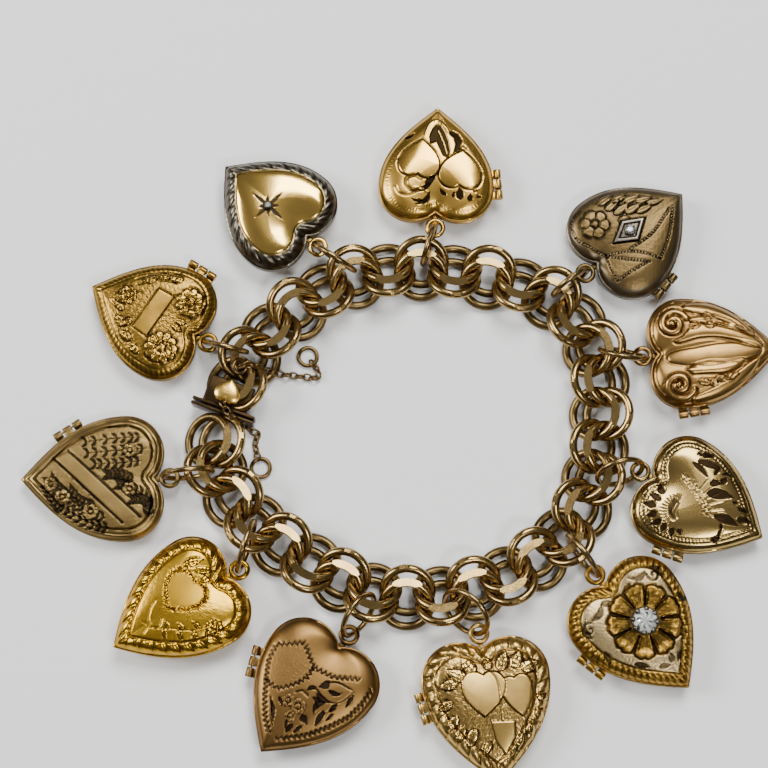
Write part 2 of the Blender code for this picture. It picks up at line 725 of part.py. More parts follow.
def main():
    clear_scene()
    group = make_collection("charm_bracelet")
    chain_mat = make_material("chain_gold", 0.60, 0.43, 0.21, 0.34)
    box_mat = make_material("clasp_gold", 0.66, 0.48, 0.22, 0.32)
    thumb_mat = make_material("thumb_gold", 0.84, 0.60, 0.20, 0.26)
    jump_mat = make_material("jump_ring_gold", 0.66, 0.48, 0.24, 0.32)
    safety_mat = make_material("safety_chain_gold", 0.70, 0.50, 0.24, 0.34)
    drop = ring_drop()
    bodies = (("chain_top", range(BODY_STARTS[0], BODY_STARTS[1])), ("chain_bottom", range(BODY_STARTS[1], BODY_STARTS[2])))
    chain_top = 0.0
    for name, pairs in bodies:
        first, *others = ring_groups(list(pairs), drop)
        combine(first, others)
        finish_piece(first, name, chain_mat, group)
        tidy_normals(first)
        chain_top = max(corner.co.z for corner in first.data.vertices)
    make_clasp(drop, chain_top, group, box_mat, thumb_mat)
    for letter in HEARTS:
        make_heart(letter, group)
        make_jump_ring(letter, group, jump_mat)
    make_safety_chain("safety_chain_upper", SAFETY_UPPER, group, safety_mat)
    make_safety_chain("safety_chain_lower", SAFETY_LOWER, group, safety_mat)
    settle(group)


main()
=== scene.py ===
import math
import random

import bmesh
import bpy
import numpy as np
from mathutils import Matrix, Vector


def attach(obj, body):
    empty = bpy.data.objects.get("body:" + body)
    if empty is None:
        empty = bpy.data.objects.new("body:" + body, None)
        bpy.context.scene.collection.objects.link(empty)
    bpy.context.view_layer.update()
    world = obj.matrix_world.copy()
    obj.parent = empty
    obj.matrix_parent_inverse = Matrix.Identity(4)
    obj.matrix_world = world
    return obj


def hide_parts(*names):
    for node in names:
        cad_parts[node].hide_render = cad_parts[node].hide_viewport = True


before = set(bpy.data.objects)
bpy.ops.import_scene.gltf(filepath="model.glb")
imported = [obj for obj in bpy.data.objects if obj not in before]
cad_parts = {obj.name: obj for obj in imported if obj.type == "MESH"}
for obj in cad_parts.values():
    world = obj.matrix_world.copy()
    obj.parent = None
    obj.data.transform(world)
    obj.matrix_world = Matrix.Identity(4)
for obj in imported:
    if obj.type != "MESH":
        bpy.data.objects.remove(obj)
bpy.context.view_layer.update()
print("frame loaded")

mm = 0.001
settle = Vector((0.932 * mm, -1.193 * mm, 0.0))  # how far the solids were moved to stand over the origin


# Camera, floor and light

camera = {"tilt": 12.0, "distance": 350 * mm, "focalPixels": 2147, "framePixels": 768,
          "aim": (-2.93 * mm, 8.99 * mm)}


def makeCamera():
    data = bpy.data.cameras.new("camera")
    data.sensor_width = 36
    data.lens = camera["focalPixels"] / camera["framePixels"] * 36
    data.clip_start = 0.01
    data.clip_end = 20
    cam = bpy.data.objects.new("camera", data)
    tilt = math.radians(camera["tilt"])
    aim = Vector((camera["aim"][0], camera["aim"][1], 0))
    cam.location = aim + Vector((0, -math.sin(tilt), math.cos(tilt))) * camera["distance"]
    cam.rotation_euler = (tilt, 0, 0)
    bpy.context.scene.collection.objects.link(cam)
    bpy.context.scene.camera = cam


def deselect():
    if bpy.context.object and bpy.context.object.mode != "OBJECT":
        bpy.ops.object.mode_set(mode="OBJECT")
    bpy.ops.object.select_all(action="DESELECT")


def makeActive(obj):
    deselect()
    obj.select_set(True)
    bpy.context.view_layer.objects.active = obj


def editMesh(obj, action="SELECT"):
    makeActive(obj)
    bpy.ops.object.mode_set(mode="EDIT")
    bpy.ops.mesh.select_all(action=action)


def simpleMaterial(name, colour, roughness, metallic=0.0):
    mat = bpy.data.materials.new(name)
    mat.use_nodes = True
    shader = mat.node_tree.nodes["Principled BSDF"]
    shader.inputs["Base Color"].default_value = (*colour, 1)
    shader.inputs["Roughness"].default_value = roughness
    shader.inputs["Metallic"].default_value = metallic
    return mat


def makeFloor():
    deselect()
    bpy.ops.mesh.primitive_plane_add(size=3.0, location=(0, 0, 0))
    floor = bpy.context.object
    floor.name = "floor"
    floor.data.materials.append(simpleMaterial("floorPaper", (0.93, 0.925, 0.92), 0.75))


lights = {
    "top": {"place": (0.12, 0.42, 0.70), "size": 0.40, "power": 6.6},
    "left": {"place": (-0.62, 0.12, 0.50), "size": 0.32, "power": 5.0},
    "key": {"place": (0.28, -0.42, 0.78), "size": 0.20, "power": 3.0},
}
sky = {"overhead": (0.20, 0.196, 0.19), "side": (0.025, 0.024, 0.023), "strength": 1.0}


def makeLights():
    # a soft room, brighter overhead than at the sides
    world = bpy.data.worlds.new("studio")
    world.use_nodes = True
    nodes = world.node_tree.nodes
    links = world.node_tree.links
    back = nodes["Background"]
    back.inputs["Strength"].default_value = sky["strength"]
    coords = nodes.new("ShaderNodeTexCoord")
    split = nodes.new("ShaderNodeSeparateXYZ")
    links.new(coords.outputs["Generated"], split.inputs["Vector"])
    ramp = nodes.new("ShaderNodeValToRGB")
    ramp.color_ramp.elements[0].position = 0.15
    ramp.color_ramp.elements[0].color = (*sky["side"], 1)
    ramp.color_ramp.elements[1].position = 0.95
    ramp.color_ramp.elements[1].color = (*sky["overhead"], 1)
    links.new(split.outputs["Z"], ramp.inputs["Fac"])
    links.new(ramp.outputs["Color"], back.inputs["Color"])
    bpy.context.scene.world = world
    for name, spec in lights.items():
        data = bpy.data.lights.new(name, "AREA")
        data.shape = "SQUARE"
        data.size = spec["size"]
        data.energy = spec["power"]
        lamp = bpy.data.objects.new(name, data)
        lamp.location = spec["place"]
        lamp.rotation_euler = (Vector(spec["place"]) * -1).to_track_quat("-Z", "Y").to_euler()
        bpy.context.scene.collection.objects.link(lamp)


makeCamera()
makeFloor()
makeLights()
print("camera, floor and light made")


# Metals: one recipe, with the dark of tarnish and of painted shade and the polish of the high parts from
# attributes


# clouds of tarnish, how much of them shows, and the depth of the fine grain
metalClouds = {"scale": 260, "detail": 5, "roughness": 0.65, "low": 0.42, "high": 0.72, "grainDetail": 4,
               "grainDepth": 0.06 * mm}


def addNode(mat, kind, values=(), **settings):
    # a node with its sockets' values and its own settings
    node = mat.node_tree.nodes.new("ShaderNode" + kind)
    for key, value in settings.items():
        setattr(node, key, value)
    for socket, value in values:
        node.inputs[socket].default_value = value
    return node


def colourMix(mat, factor, one, two):
    # a mix of two colours; returns it with the first colour's socket and its result
    node = addNode(mat, "Mix", data_type="RGBA")
    first, other = [s for s in node.inputs if s.type == "RGBA"]
    first.default_value = (*one, 1)
    other.default_value = (*two, 1)
    mat.node_tree.links.new(factor, node.inputs[0])
    return first, [s for s in node.outputs if s.type == "RGBA"][0]


def goldMaterial(name, bright, dark, rough=0.3, matt=0.5, grain=0.15, grainScale=900, blotch=0.3,
                 second=None):
    # bright is the metal, dark its tarnish and its painted shade, second the other metal; matt is the
    # roughness of the grounds
    mat = bpy.data.materials.new(name)
    mat.use_nodes = True
    link = mat.node_tree.links.new
    shader = mat.node_tree.nodes["Principled BSDF"]
    coords = addNode(mat, "TexCoord")
    patina = addNode(mat, "Attribute", attribute_name="patina")
    polish = addNode(mat, "Attribute", attribute_name="polish")
    clouds = metalClouds
    cloud = addNode(mat, "TexNoise", (("Scale", clouds["scale"]), ("Detail", clouds["detail"]),
                                      ("Roughness", clouds["roughness"])))
    link(coords.outputs["Object"], cloud.inputs["Vector"])
    spots = addNode(mat, "MapRange", (("From Min", clouds["low"]), ("From Max", clouds["high"]),
                                      ("To Max", blotch)))
    link(cloud.outputs["Fac"], spots.inputs["Value"])
    # tarnish clouds plus the attribute darken the colour: real tarnish, and painted shade where the attribute
    # carries it
    shade = addNode(mat, "Math", operation="ADD", use_clamp=True)
    link(spots.outputs["Result"], shade.inputs[0])
    link(patina.outputs["Fac"], shade.inputs[1])
    colourIn, colourOut = colourMix(mat, shade.outputs["Value"], bright, dark)
    if second:
        tone = addNode(mat, "Attribute", attribute_name="tone")
        link(colourMix(mat, tone.outputs["Fac"], bright, second)[1], colourIn)
    link(colourOut, shader.inputs["Base Color"])
    gloss = addNode(mat, "MapRange", (("To Min", matt), ("To Max", rough)))
    link(polish.outputs["Fac"], gloss.inputs["Value"])
    link(gloss.outputs["Result"], shader.inputs["Roughness"])
    shader.inputs["Metallic"].default_value = 1.0
    fine = addNode(mat, "TexNoise", (("Scale", grainScale), ("Detail", clouds["grainDetail"])))
    link(coords.outputs["Object"], fine.inputs["Vector"])
    bump = addNode(mat, "Bump", (("Strength", grain), ("Distance", clouds["grainDepth"])))
    link(fine.outputs["Fac"], bump.inputs["Height"])
    link(bump.outputs["Normal"], shader.inputs["Normal"])
    return mat


# Route of the chain, as the solids have it

chain = {
    "wire": 1.28 * mm, "ring": 7.6 * mm, "tilt": math.radians(32), "pairs": 33, "clasp": 10.0 * mm,
    "slack": {1: 0.5 * mm, 17: 0.5 * mm, 32: 0.9 * mm}, "ringSteps": 56, "wireSteps": 16,
    "ground": 0.46 * mm, "drawn": 1.36 * mm, "nest": 1.65, "beside": 0.93, "lift": 0.714 * mm, "bigger": 1.01,
    "liftBigger": 1.025,
}
chain["pitch"] = chain["ring"] - chain["nest"] * chain["wire"]
chain["slide"] = chain["beside"] * chain["wire"] / math.sin(chain["tilt"])
route = (
    (-27.9, 2.7), (-25.6, 7.6), (-22.6, 13.6), (-16.4, 19.5), (-7.0, 25.0), (3.6, 26.5), (14.9, 25.0),
    (25.1, 21.7), (31.8, 13.9), (33.0, 3.1), (31.7, -7.5), (27.2, -17.0), (18.3, -23.6), (7.1, -27.1),
    (-3.7, -26.6), (-13.3, -22.1), (-22.5, -15.5), (-28.6, -7.5), (-29.2, -2.5))


def smoothPoints(points, steps, closed):
    # points on a smooth curve through the given ones
    points = [Vector(p) for p in points]
    count = len(points)
    out = []
    for i in range(count if closed else count - 1):
        if closed:
            p0, p1, p2, p3 = (points[(i + k) % count] for k in (-1, 0, 1, 2))
        else:
            p0, p1, p2, p3 = (points[min(max(i + k, 0), count - 1)] for k in (-1, 0, 1, 2))
        for step in range(steps):
            t = step / steps
            out.append(0.5 * (2 * p1 + (p2 - p0) * t + (2 * p0 - 5 * p1 + 4 * p2 - p3) * t * t
                              + (3 * p1 - p0 - 3 * p2 + p3) * t ** 3))
    if not closed:
        out.append(points[-1])
    return out


def pairPlace(pair):
    taken = sum(v for k, v in chain["slack"].items() if pair >= k)
    return chain["clasp"] / 2 + pair * chain["pitch"] - taken


loopLength = chain["clasp"] + (chain["pairs"] - 1) * chain["pitch"] - sum(chain["slack"].values())
routePoints = smoothPoints(route, 60, True)
routeSteps = [(routePoints[(i + 1) % len(routePoints)] - p).length for i, p in enumerate(routePoints)]
routeScale = loopLength / sum(routeSteps)


def routeFrame(place):
    # X along the chain, Y outwards, Z up
    left = (place % loopLength) / routeScale
    i = 0
    while left > routeSteps[i]:
        left -= routeSteps[i]
        i += 1
    start = routePoints[i]
    along = (routePoints[(i + 1) % len(routePoints)] - start).normalized()
    centre = (start + along * left) * routeScale
    turn = Matrix.Rotation(math.atan2(along.y, along.x), 4, "Z")
    return Matrix.Translation((centre.x - settle.x, centre.y - settle.y, 0)) @ turn


# Small helpers for pieces


def smoothStep(value):
    value = np.clip(value, 0, 1)
    return value * value * (3 - 2 * value)


def lengthAlong(points):
    return np.concatenate(((0,), np.cumsum(np.linalg.norm(np.diff(points, axis=0), axis=1))))


def addField(obj, **fields):
    for attribute, values in fields.items():
        layer = obj.data.attributes.new(attribute, "FLOAT", "POINT")
        layer.data.foreach_set("value", np.clip(values, 0, 1).astype(np.float32).ravel())


def placedCopy(source, matrix):
    # a copy with its own mesh, moved there in the mesh itself
    copy = source.copy()
    copy.data = source.data.copy()
    copy.data.transform(matrix)
    if matrix.determinant() < 0:
        copy.data.flip_normals()
    bpy.context.scene.collection.objects.link(copy)
    return copy


def joinPieces(name, parts):
    deselect()
    for part in parts:
        part.select_set(True)
    bpy.context.view_layer.objects.active = parts[0]
    if len(parts) > 1:
        bpy.ops.object.join()
    whole = bpy.context.view_layer.objects.active
    whole.name = name
    whole.data.name = name
    return whole


def dropPiece(obj):
    bpy.data.objects.remove(obj, do_unlink=True)


def useMaterial(obj, mat):
    obj.data.materials.clear()
    obj.data.materials.append(mat)


def smoothShade(obj, angle=40):
    makeActive(obj)
    bpy.ops.object.shade_smooth_by_angle(angle=math.radians(angle))


def setDown(obj):
    # puts the object's place into its mesh
    makeActive(obj)
    bpy.ops.object.transform_apply(location=True, rotation=True, scale=True)
    return obj


def torusPiece(name, meanRadius, wire, ringSteps, wireSteps):
    deselect()
    bpy.ops.mesh.primitive_torus_add(major_segments=ringSteps, minor_segments=wireSteps,
                                     major_radius=meanRadius, minor_radius=wire / 2)
    ring = bpy.context.object
    ring.name = name
    return ring


jointWaist = 0.965
jointReach = 0.6  # share of one step round the ring that the joint takes


def wearRing(ring, steps, seam, toward, depth):
    # the slight waist of the soldered joint, and a worn flat on one side
    tools = bpy.context.tool_settings
    tools.mesh_select_mode = (True, False, False)
    toward = Vector(toward).normalized()
    editMesh(ring, "DESELECT")
    mesh = bmesh.from_edit_mesh(ring.data)
    joint = Vector((math.cos(seam), math.sin(seam), 0))
    closeness = math.cos(jointReach * 2 * math.pi / steps)
    near = [v for v in mesh.verts if v.co.xy.normalized().dot(joint.xy) > closeness]
    for vert in near:
        vert.select_set(True)
    middle = sum((v.co for v in near), Vector()) / len(near)
    bmesh.update_edit_mesh(ring.data)
    bpy.ops.transform.resize(value=(jointWaist, jointWaist, jointWaist), center_override=middle)
    bpy.ops.mesh.select_all(action="SELECT")
    high = max(v.co.dot(toward) for v in bmesh.from_edit_mesh(ring.data).verts)
    bpy.ops.mesh.bisect(plane_co=toward * (high - depth), plane_no=toward, use_fill=True, clear_outer=True)
    bpy.ops.mesh.mark_sharp()
    bpy.ops.object.mode_set(mode="OBJECT")
    return ring


def ringLift():
    return (chain["ring"] / 2 * chain["liftBigger"]) * math.sin(chain["tilt"]) + chain["lift"]


def makeTwistRing(side, ground):
    # one ring of the chain, leaning; a ground one has a flat on its high side
    radius = chain["ring"] / 2 * chain["bigger"]
    ring = torusPiece("ring", radius, chain["drawn"], chain["ringSteps"], chain["wireSteps"])
    if not ground:
        wearRing(ring, chain["ringSteps"], math.radians(side * 38), (0.2, side * 0.9, 0.7), 0.1 * mm)
    ring.data.transform(Matrix.Rotation(side * chain["tilt"], 4, "X"))
    if ground:
        high = max((v.co for v in ring.data.vertices), key=lambda co: co.z).copy()
        editMesh(ring)
        flat = (0, high.y, high.z - chain["ground"])
        bpy.ops.mesh.bisect(plane_co=flat, plane_no=(0, side * 0.22, 1), use_fill=True, clear_outer=True)
        bpy.ops.mesh.mark_sharp()
        bpy.ops.object.mode_set(mode="OBJECT")
    return ring


def chainField(obj, seed):
    # darker low down and lighter high up, by height alone: painted shade under the upper rings with tarnish
    # in the folds, and worn, smoother metal high up
    rng = np.random.default_rng(seed)
    mesh = obj.data
    coords = np.empty(len(mesh.vertices) * 3, np.float32)
    mesh.vertices.foreach_get("co", coords)
    z = coords[2::3]
    t = smoothStep((z / mm - 0.3) / 4.2)
    # the first value darkens the colour towards the bottom of the chain: painted shade under the upper rings,
    # with tarnish in the folds
    addField(obj, patina=0.7 * (1 - t) + rng.uniform(-0.05, 0.05, t.shape), polish=0.35 + 0.6 * t,
             tone=np.zeros_like(t))


chainGold = goldMaterial("chainGold", (0.38, 0.252, 0.092), (0.030, 0.018, 0.007),
                         rough=0.24, matt=0.42, grain=0.25, grainScale=1500, blotch=0.35)


def pairRings(pair, rings, rng):
    side = 1 if pair % 2 else -1
    out = []
    for upper in (True, False):
        shift = -side if upper else side
        wobble = Matrix.Rotation(math.radians(rng.uniform(-1.2, 1.2)), 4, "Z")
        slide = Matrix.Translation((0, shift * chain["slide"] / 2, ringLift()))
        out.append(placedCopy(rings[side, upper], routeFrame(pairPlace(pair)) @ slide @ wobble))
    return out


def makeChain():
    rng = random.Random(4)
    rings = {(side, ground): makeTwistRing(side, ground) for side in (1, -1) for ground in (True, False)}
    ends = {}
    for name, node, pairs in (("chainTop", "chain_top", range(1, 17)),
                              ("chainBottom", "chain_bottom", range(17, 32))):
        parts = []
        for pair in pairs:
            parts += pairRings(pair, rings, rng)
        whole = joinPieces(name, parts)
        chainField(whole, 3)
        useMaterial(whole, chainGold)
        smoothShade(whole, 35)
        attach(whole, "bracelet")
        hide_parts(node)
    for pair in (0, chain["pairs"] - 1):
        ends[pair] = pairRings(pair, rings, rng)
    for ring in rings.values():
        dropPiece(ring)
    return ends


endRings = makeChain()
print("chain made")


# Hearts

hearts = {
    "a": dict(width=19.0, length=19.6, height=5.6, heading=88.6, pair=7, along=2.2, out=6.9, hinge=0.66),
    "b": dict(width=18.8, length=19.5, height=6.6, heading=138.5, pair=5, along=-4.2, out=6.6, hinge=None),
    "c": dict(width=19.3, length=20.2, height=5.4, heading=154.0, pair=1, along=-1.15, out=7.12, hinge=0.73),
    "d": dict(width=20.3, length=22.9, height=4.4, heading=180.8, pair=31, along=1.25, out=7.4, hinge=0.34),
    "e": dict(width=18.6, length=22.2, height=6.4, heading=-148.0, pair=29, along=-3.5, out=7.1, hinge=None),
    "f": dict(width=19.5, length=21.8, height=5.4, heading=-127.0, pair=25, along=1.98, out=7.4, hinge=0.49),
    "g": dict(width=20.3, length=22.5, height=5.4, heading=-82.5, pair=23, along=-5.0, out=6.7, hinge=0.58),
    "h": dict(width=19.4, length=21.9, height=5.6, heading=-51.3, pair=19, along=1.0, out=7.7, hinge=0.555),
    "i": dict(width=18.8, length=21.0, height=5.6, heading=-29.4, pair=17, along=-3.1, out=6.95, hinge=0.575),
    "j": dict(width=18.2, length=21.2, height=5.4, heading=3.0, pair=13, along=3.8, out=7.0, hinge=0.69),
    "k": dict(width=19.0, length=20.0, height=5.4, heading=39.4, pair=11, along=2.3, out=6.6, hinge=0.62),
}
heartShape = {"lobe": 0.30, "around": 224, "coverAround": 304, "rows": 62, "rim": 0.24, "gap": 0.3,
              "bailReach": 0.95, "domeReach": 0.34}


def bailPoint(letter):
    spec = hearts[letter]
    return routeFrame(pairPlace(spec["pair"])) @ Vector((spec["along"] * mm, spec["out"] * mm, 0))


def charmPlace(letter):
    # tip of the heart at the origin of its frame, lobes towards Y
    spec = hearts[letter]
    heading = math.radians(spec["heading"])
    reach = (spec["length"] + heartShape["bailReach"]) * mm
    tip = bailPoint(letter) + Vector((math.cos(heading), math.sin(heading), 0)) * reach
    return Matrix.Translation((tip.x, tip.y, 0)) @ Matrix.Rotation(heading + math.pi / 2, 4, "Z")


def bezier(p0, p1, p2, p3, t):
    s = 1 - t
    weights = (s ** 3, 3 * s * s * t, 3 * s * t * t, t ** 3)
    return sum(w[:, None] * p for w, p in zip(weights, (p0, p1, p2, p3)))


def heartOutline(width, length, steps):
    # evenly spaced points in millimetres, from the cleft round the left side and the tip back to the cleft
    lobe = heartShape["lobe"] * width
    lobeX = width / 2 - lobe
    sweep = math.acos(-lobeX / lobe)
    cleft = np.array((0, length - lobe + lobe * math.sin(sweep)))
    t = np.linspace(0, 1, 120)
    side = bezier(np.array((0.0, 0.0)), np.array((0.26 * width, 0.2 * length)),
                  np.array((width / 2, 0.55 * (length - lobe))), np.array((width / 2, length - lobe)), t)
    angle = np.linspace(0, sweep, 120)
    arc = np.stack((lobeX + lobe * np.cos(angle), length - lobe + lobe * np.sin(angle)), 1)
    arc[-1] = cleft
    half = np.concatenate((side, arc[1:]))
    span = lengthAlong(half)
    even = np.linspace(0, span[-1], steps // 2 + 1)
    right = np.stack((np.interp(even, span, half[:, 0]), np.interp(even, span, half[:, 1])), 1)
    left = right[::-1] * (-1, 1)
    return np.concatenate((left, right[1:]))


def edgeDistance(x, y, loop):
    # distance from each place to a line of points
    best = np.full(x.shape, 1e9)
    for a, b in zip(loop[:-1], loop[1:]):
        dx, dy = b - a
        t = np.clip(((x - a[0]) * dx + (y - a[1]) * dy) / max(dx * dx + dy * dy, 1e-9), 0, 1)
        best = np.minimum(best, (x - a[0] - t * dx) ** 2 + (y - a[1] - t * dy) ** 2)
    return np.sqrt(best)


def domeProfile(reach):
    # share of the full height at each distance share from the rim
    t = np.clip(reach, 0, 1)
    return np.sqrt(1 - (1 - t) ** 2.1)


# Relief: a field over one heart in millimetres holds the height, tarnish (with some painted shade), polish
# and second metal


def newField(x, y):
    return {"x": x, "y": y, "h": np.zeros_like(x), "p": np.full_like(x, 0.06), "s": np.full_like(x, 0.6),
            "t": np.zeros_like(x)}


def lineDistance(field, points, reach):
    points = np.array(points, float)
    x, y = field["x"], field["y"]
    near = np.full(x.shape, 1e3)
    low = points.min(0) - reach
    high = points.max(0) + reach
    inside = (x > low[0]) & (x < high[0]) & (y > low[1]) & (y < high[1])
    near[inside] = edgeDistance(x[inside], y[inside], points)
    return near


def cover(field, weight, tarnish=None, polish=None, tone=None):
    for key, value in (("p", tarnish), ("s", polish), ("t", tone)):
        if value is not None:
            field[key] = field[key] * (1 - weight) + value * weight


def addLine(field, points, width=0.35, depth=-0.12, tarnish=0.8, polish=0.2):
    # an engraved line, or a raised wire where the depth is positive
    near = lineDistance(field, points, width)
    weight = smoothStep(1.35 - near / (width / 2))
    field["h"] += depth * weight
    cover(field, weight, tarnish, polish)


def curve(*points, steps=7):
    return [(p.x, p.y) for p in smoothPoints([Vector((x, y, 0)) for x, y in points], steps, False)]


def wriggle(points, size=0.35, wave=0.62):
    # a zigzag along a line
    points = np.array(points, float)
    span = lengthAlong(points)
    out = []
    for i, place in enumerate(np.arange(0, span[-1], wave / 2)):
        k = min(np.searchsorted(span, place, side="right") - 1, len(points) - 2)
        dx, dy = (points[k + 1] - points[k]) / max(span[k + 1] - span[k], 1e-9)
        x, y = np.interp(place, span, points[:, 0]), np.interp(place, span, points[:, 1])
        way = size if i % 2 else -size
        out.append((x - dy * way, y + dx * way))
    return out


def spiral(x, y, radius, turns, start, way=1, steps=44):
    # from the outside inwards
    out = []
    for i in range(steps + 1):
        t = i / steps
        angle = math.radians(start) + way * turns * 2 * math.pi * t
        reach = radius * (1 - 0.88 * t)
        out.append((x + reach * math.cos(angle), y + reach * math.sin(angle)))
    return out


def localUV(field, x, y, angle):
    a = math.radians(angle)
    dx, dy = field["x"] - x, field["y"] - y
    return dx * math.cos(a) + dy * math.sin(a), -dx * math.sin(a) + dy * math.cos(a)


def addLeaf(field, x, y, angle, length, width, rise=0.16, tarnish=0.0, polish=0.7, ribs=5, edge=0.55,
            ribDark=0.5, bend=0.0):
    # a leaf from its stalk end, with a dark edge, a middle vein and side ribs
    u, v = localUV(field, x, y, angle)
    t = u / length
    v = v - bend * length * np.clip(t, 0, 1) * (1 - np.clip(t, 0, 1)) * 4
    half = width / 2 * np.sin(np.pi * np.clip(t, 0, 1) ** 0.8) ** 0.8 + 1e-6
    inside = (t > 0) & (t < 1)
    across = np.where(inside, np.abs(v) / half, 9)
    body = smoothStep((1.12 - across) / 0.25)
    ring = smoothStep(1 - np.abs(across - 1.12) / 0.35) * inside
    vein = smoothStep(1 - np.abs(v) / 0.16) * body
    rib = 0.5 + 0.5 * np.cos(2 * np.pi * (t * ribs - np.abs(v) / max(width, 0.1) * 1.2))
    lift = rise * (1 - 0.5 * np.clip(across, 0, 1) ** 2) - 0.05 * rib
    field["h"] += body * lift - 0.07 * vein - 0.06 * ring
    dark = field["p"] * (1 - body) + body * (tarnish + ribDark * 0.4 * rib)
    field["p"] = np.clip(dark + edge * ring + 0.5 * vein, 0, 1)
    field["s"] = field["s"] * (1 - body) + body * polish


def addCut(field, x, y, angle, length, width=0.9, depth=-0.2, tarnish=1.0, bend=0.0):
    # a dark wedge cut with a graver
    u, v = localUV(field, x, y, angle)
    t = np.clip(u / length, 0, 1)
    v = v - bend * length * t * (1 - t) * 4
    half = width / 2 * np.sin(np.pi * t ** 0.75) + 1e-6
    body = smoothStep((1.2 - np.abs(v) / half) / 0.35) * ((u > 0) & (u < length))
    field["h"] += depth * body
    cover(field, body, tarnish, 0.0)


def addFlower(field, x, y, radius, petals, rise=0.24, turn=0.0, centre=0.22, tarnish=0.0, polish=0.7,
              cup=0.3, cleftDark=0.8, ringDark=0.8):
    # petals round a middle boss, with dark clefts between them
    dx, dy = field["x"] - x, field["y"] - y
    r = np.hypot(dx, dy) / radius
    angle = np.arctan2(dy, dx) + math.radians(turn)
    lobe = np.abs(np.cos(angle * petals / 2))
    edge = 0.78 + 0.22 * lobe ** 0.5
    body = smoothStep((edge - r) / 0.12)
    cleft = smoothStep(1 - lobe / 0.32) * body * smoothStep((r - centre) / 0.1)
    boss = smoothStep((centre - r) / 0.08)
    collar = smoothStep(1 - np.abs(r - centre * 1.2) / (centre * 0.5))
    rim = smoothStep(1 - np.abs(r - edge - 0.03) / 0.16)
    petal = rise * (0.55 + cup * r) * body * (1 - boss)
    field["h"] += petal + boss * rise * 1.25 - 0.15 * cleft - 0.08 * collar
    cover(field, body, tarnish, polish)
    field["p"] = np.clip(field["p"] + cleftDark * cleft + ringDark * collar + 0.65 * rim, 0, 1)


def addBead(field, x, y, radius, rise=0.2, tarnish=0.0, polish=1.0, ring=0.7, tone=None):
    reach = radius * 1.6
    near = (np.abs(field["x"] - x) < reach) & (np.abs(field["y"] - y) < reach)
    r = np.hypot(field["x"][near] - x, field["y"][near] - y) / radius
    body = r < 1
    collar = smoothStep(1 - np.abs(r - 1.15) / 0.35)
    field["h"][near] += rise * np.sqrt(np.clip(1 - r * r, 0, 1)) - 0.04 * collar
    field["p"][near] = np.clip(np.where(body, tarnish, field["p"][near]) + ring * collar, 0, 1)
    field["s"][near] = np.where(body, polish, field["s"][near])
    if tone is not None:
        field["t"][near] = np.where(body, tone, field["t"][near])


def addBeadLine(field, points, radius, spacing, **kind):
    points = np.array(points, float)
    span = lengthAlong(points)
    for place in np.arange(spacing / 2, span[-1], spacing):
        x, y = (np.interp(place, span, points[:, k]) for k in (0, 1))
        addBead(field, x, y, radius, **kind)


def areaWeight(field, points, soft=0.25):
    x, y = field["x"], field["y"]
    points = list(points)
    inside = np.zeros(x.shape, bool)
    for (x1, y1), (x2, y2) in zip(points, points[1:] + points[:1]):
        inside ^= ((y1 > y) != (y2 > y)) & (x < (x2 - x1) * (y - y1) / ((y2 - y1) or 1e-9) + x1)
    near = lineDistance(field, points + [points[0]], 30)
    return smoothStep(0.5 + np.where(inside, near, -near) / soft)


def addPanel(field, points, height=0.0, tarnish=0.0, polish=0.8, soft=0.25, tone=None, keep=0.0):
    # a plain area with soft edges
    weight = areaWeight(field, points, soft)
    field["h"] = field["h"] * (1 - weight * (1 - keep)) + height * weight
    cover(field, weight, tarnish, polish, tone)


def smallHeart(x, y, angle, width, length, steps=60):
    # outline of a heart with its middle at the place and its tip towards the angle
    loop = heartOutline(width, length, steps)
    a = math.radians(angle - 90)
    px, py = loop[:, 0], -(loop[:, 1] - length / 2)
    cosine, sine = math.cos(a), math.sin(a)
    return [(x + u * cosine - v * sine, y + u * sine + v * cosine) for u, v in zip(px, py)]


def band(field, low, high, soft=0.2):
    # 1 where the distance from the edge lies between the two
    return smoothStep((field["d"] - low) / soft + 0.5) * smoothStep((high - field["d"]) / soft + 0.5)


def addGroove(field, at, width=0.25, depth=-0.1, tarnish=0.6):
    weight = smoothStep(1.2 - np.abs(field["d"] - at) / (width / 2))
    field["h"] += depth * weight
    cover(field, weight, tarnish)


def addTicks(field, low, high, spacing, depth=-0.08, tarnish=0.6, slant=0.0, share=0.35):
    # short cuts across the border
    phase = (field["u"] / spacing + slant * (field["d"] - low) / (high - low)) % 1
    weight = smoothStep((share / 2 - np.abs(phase - 0.5)) / 0.12 + 0.5) * band(field, low, high)
    field["h"] += depth * weight
    cover(field, weight, tarnish)


def addScallops(field, low, high, spacing, rise=0.25, tarnish=0.5, roundness=0.5, tone=None):
    # a border of leaning shells, dark between them
    phase = (field["u"] / spacing) % 1
    middle = (low + high) / 2
    across = (field["d"] - middle) / ((high - low) / 2)
    lean = (phase + 0.22 * across) % 1
    bump = np.sin(np.pi * lean) ** roundness * np.sqrt(np.clip(1 - across ** 2, 0, 1))
    weight = band(field, low, high)
    field["h"] += rise * (bump - 0.35) * weight
    cover(field, weight, tone=tone)
    field["p"] = np.clip(field["p"] + tarnish * (1 - bump) ** 2 * weight, 0, 1)


def stipple(field, weight, amount=0.05, size=0.4, dark=0.25):
    # small pits and points all over an area
    x, y = field["x"], field["y"]
    dots = np.sin(x * 6.3 / size + 2.1 * np.sin(y * 2.7 / size))
    dots = dots * np.sin(y * 6.3 / size + 1.7 * np.sin(x * 3.1 / size))
    field["h"] += amount * dots * weight
    field["p"] = np.clip(field["p"] + dark * np.clip(-dots, 0, 1) * weight, 0, 1)


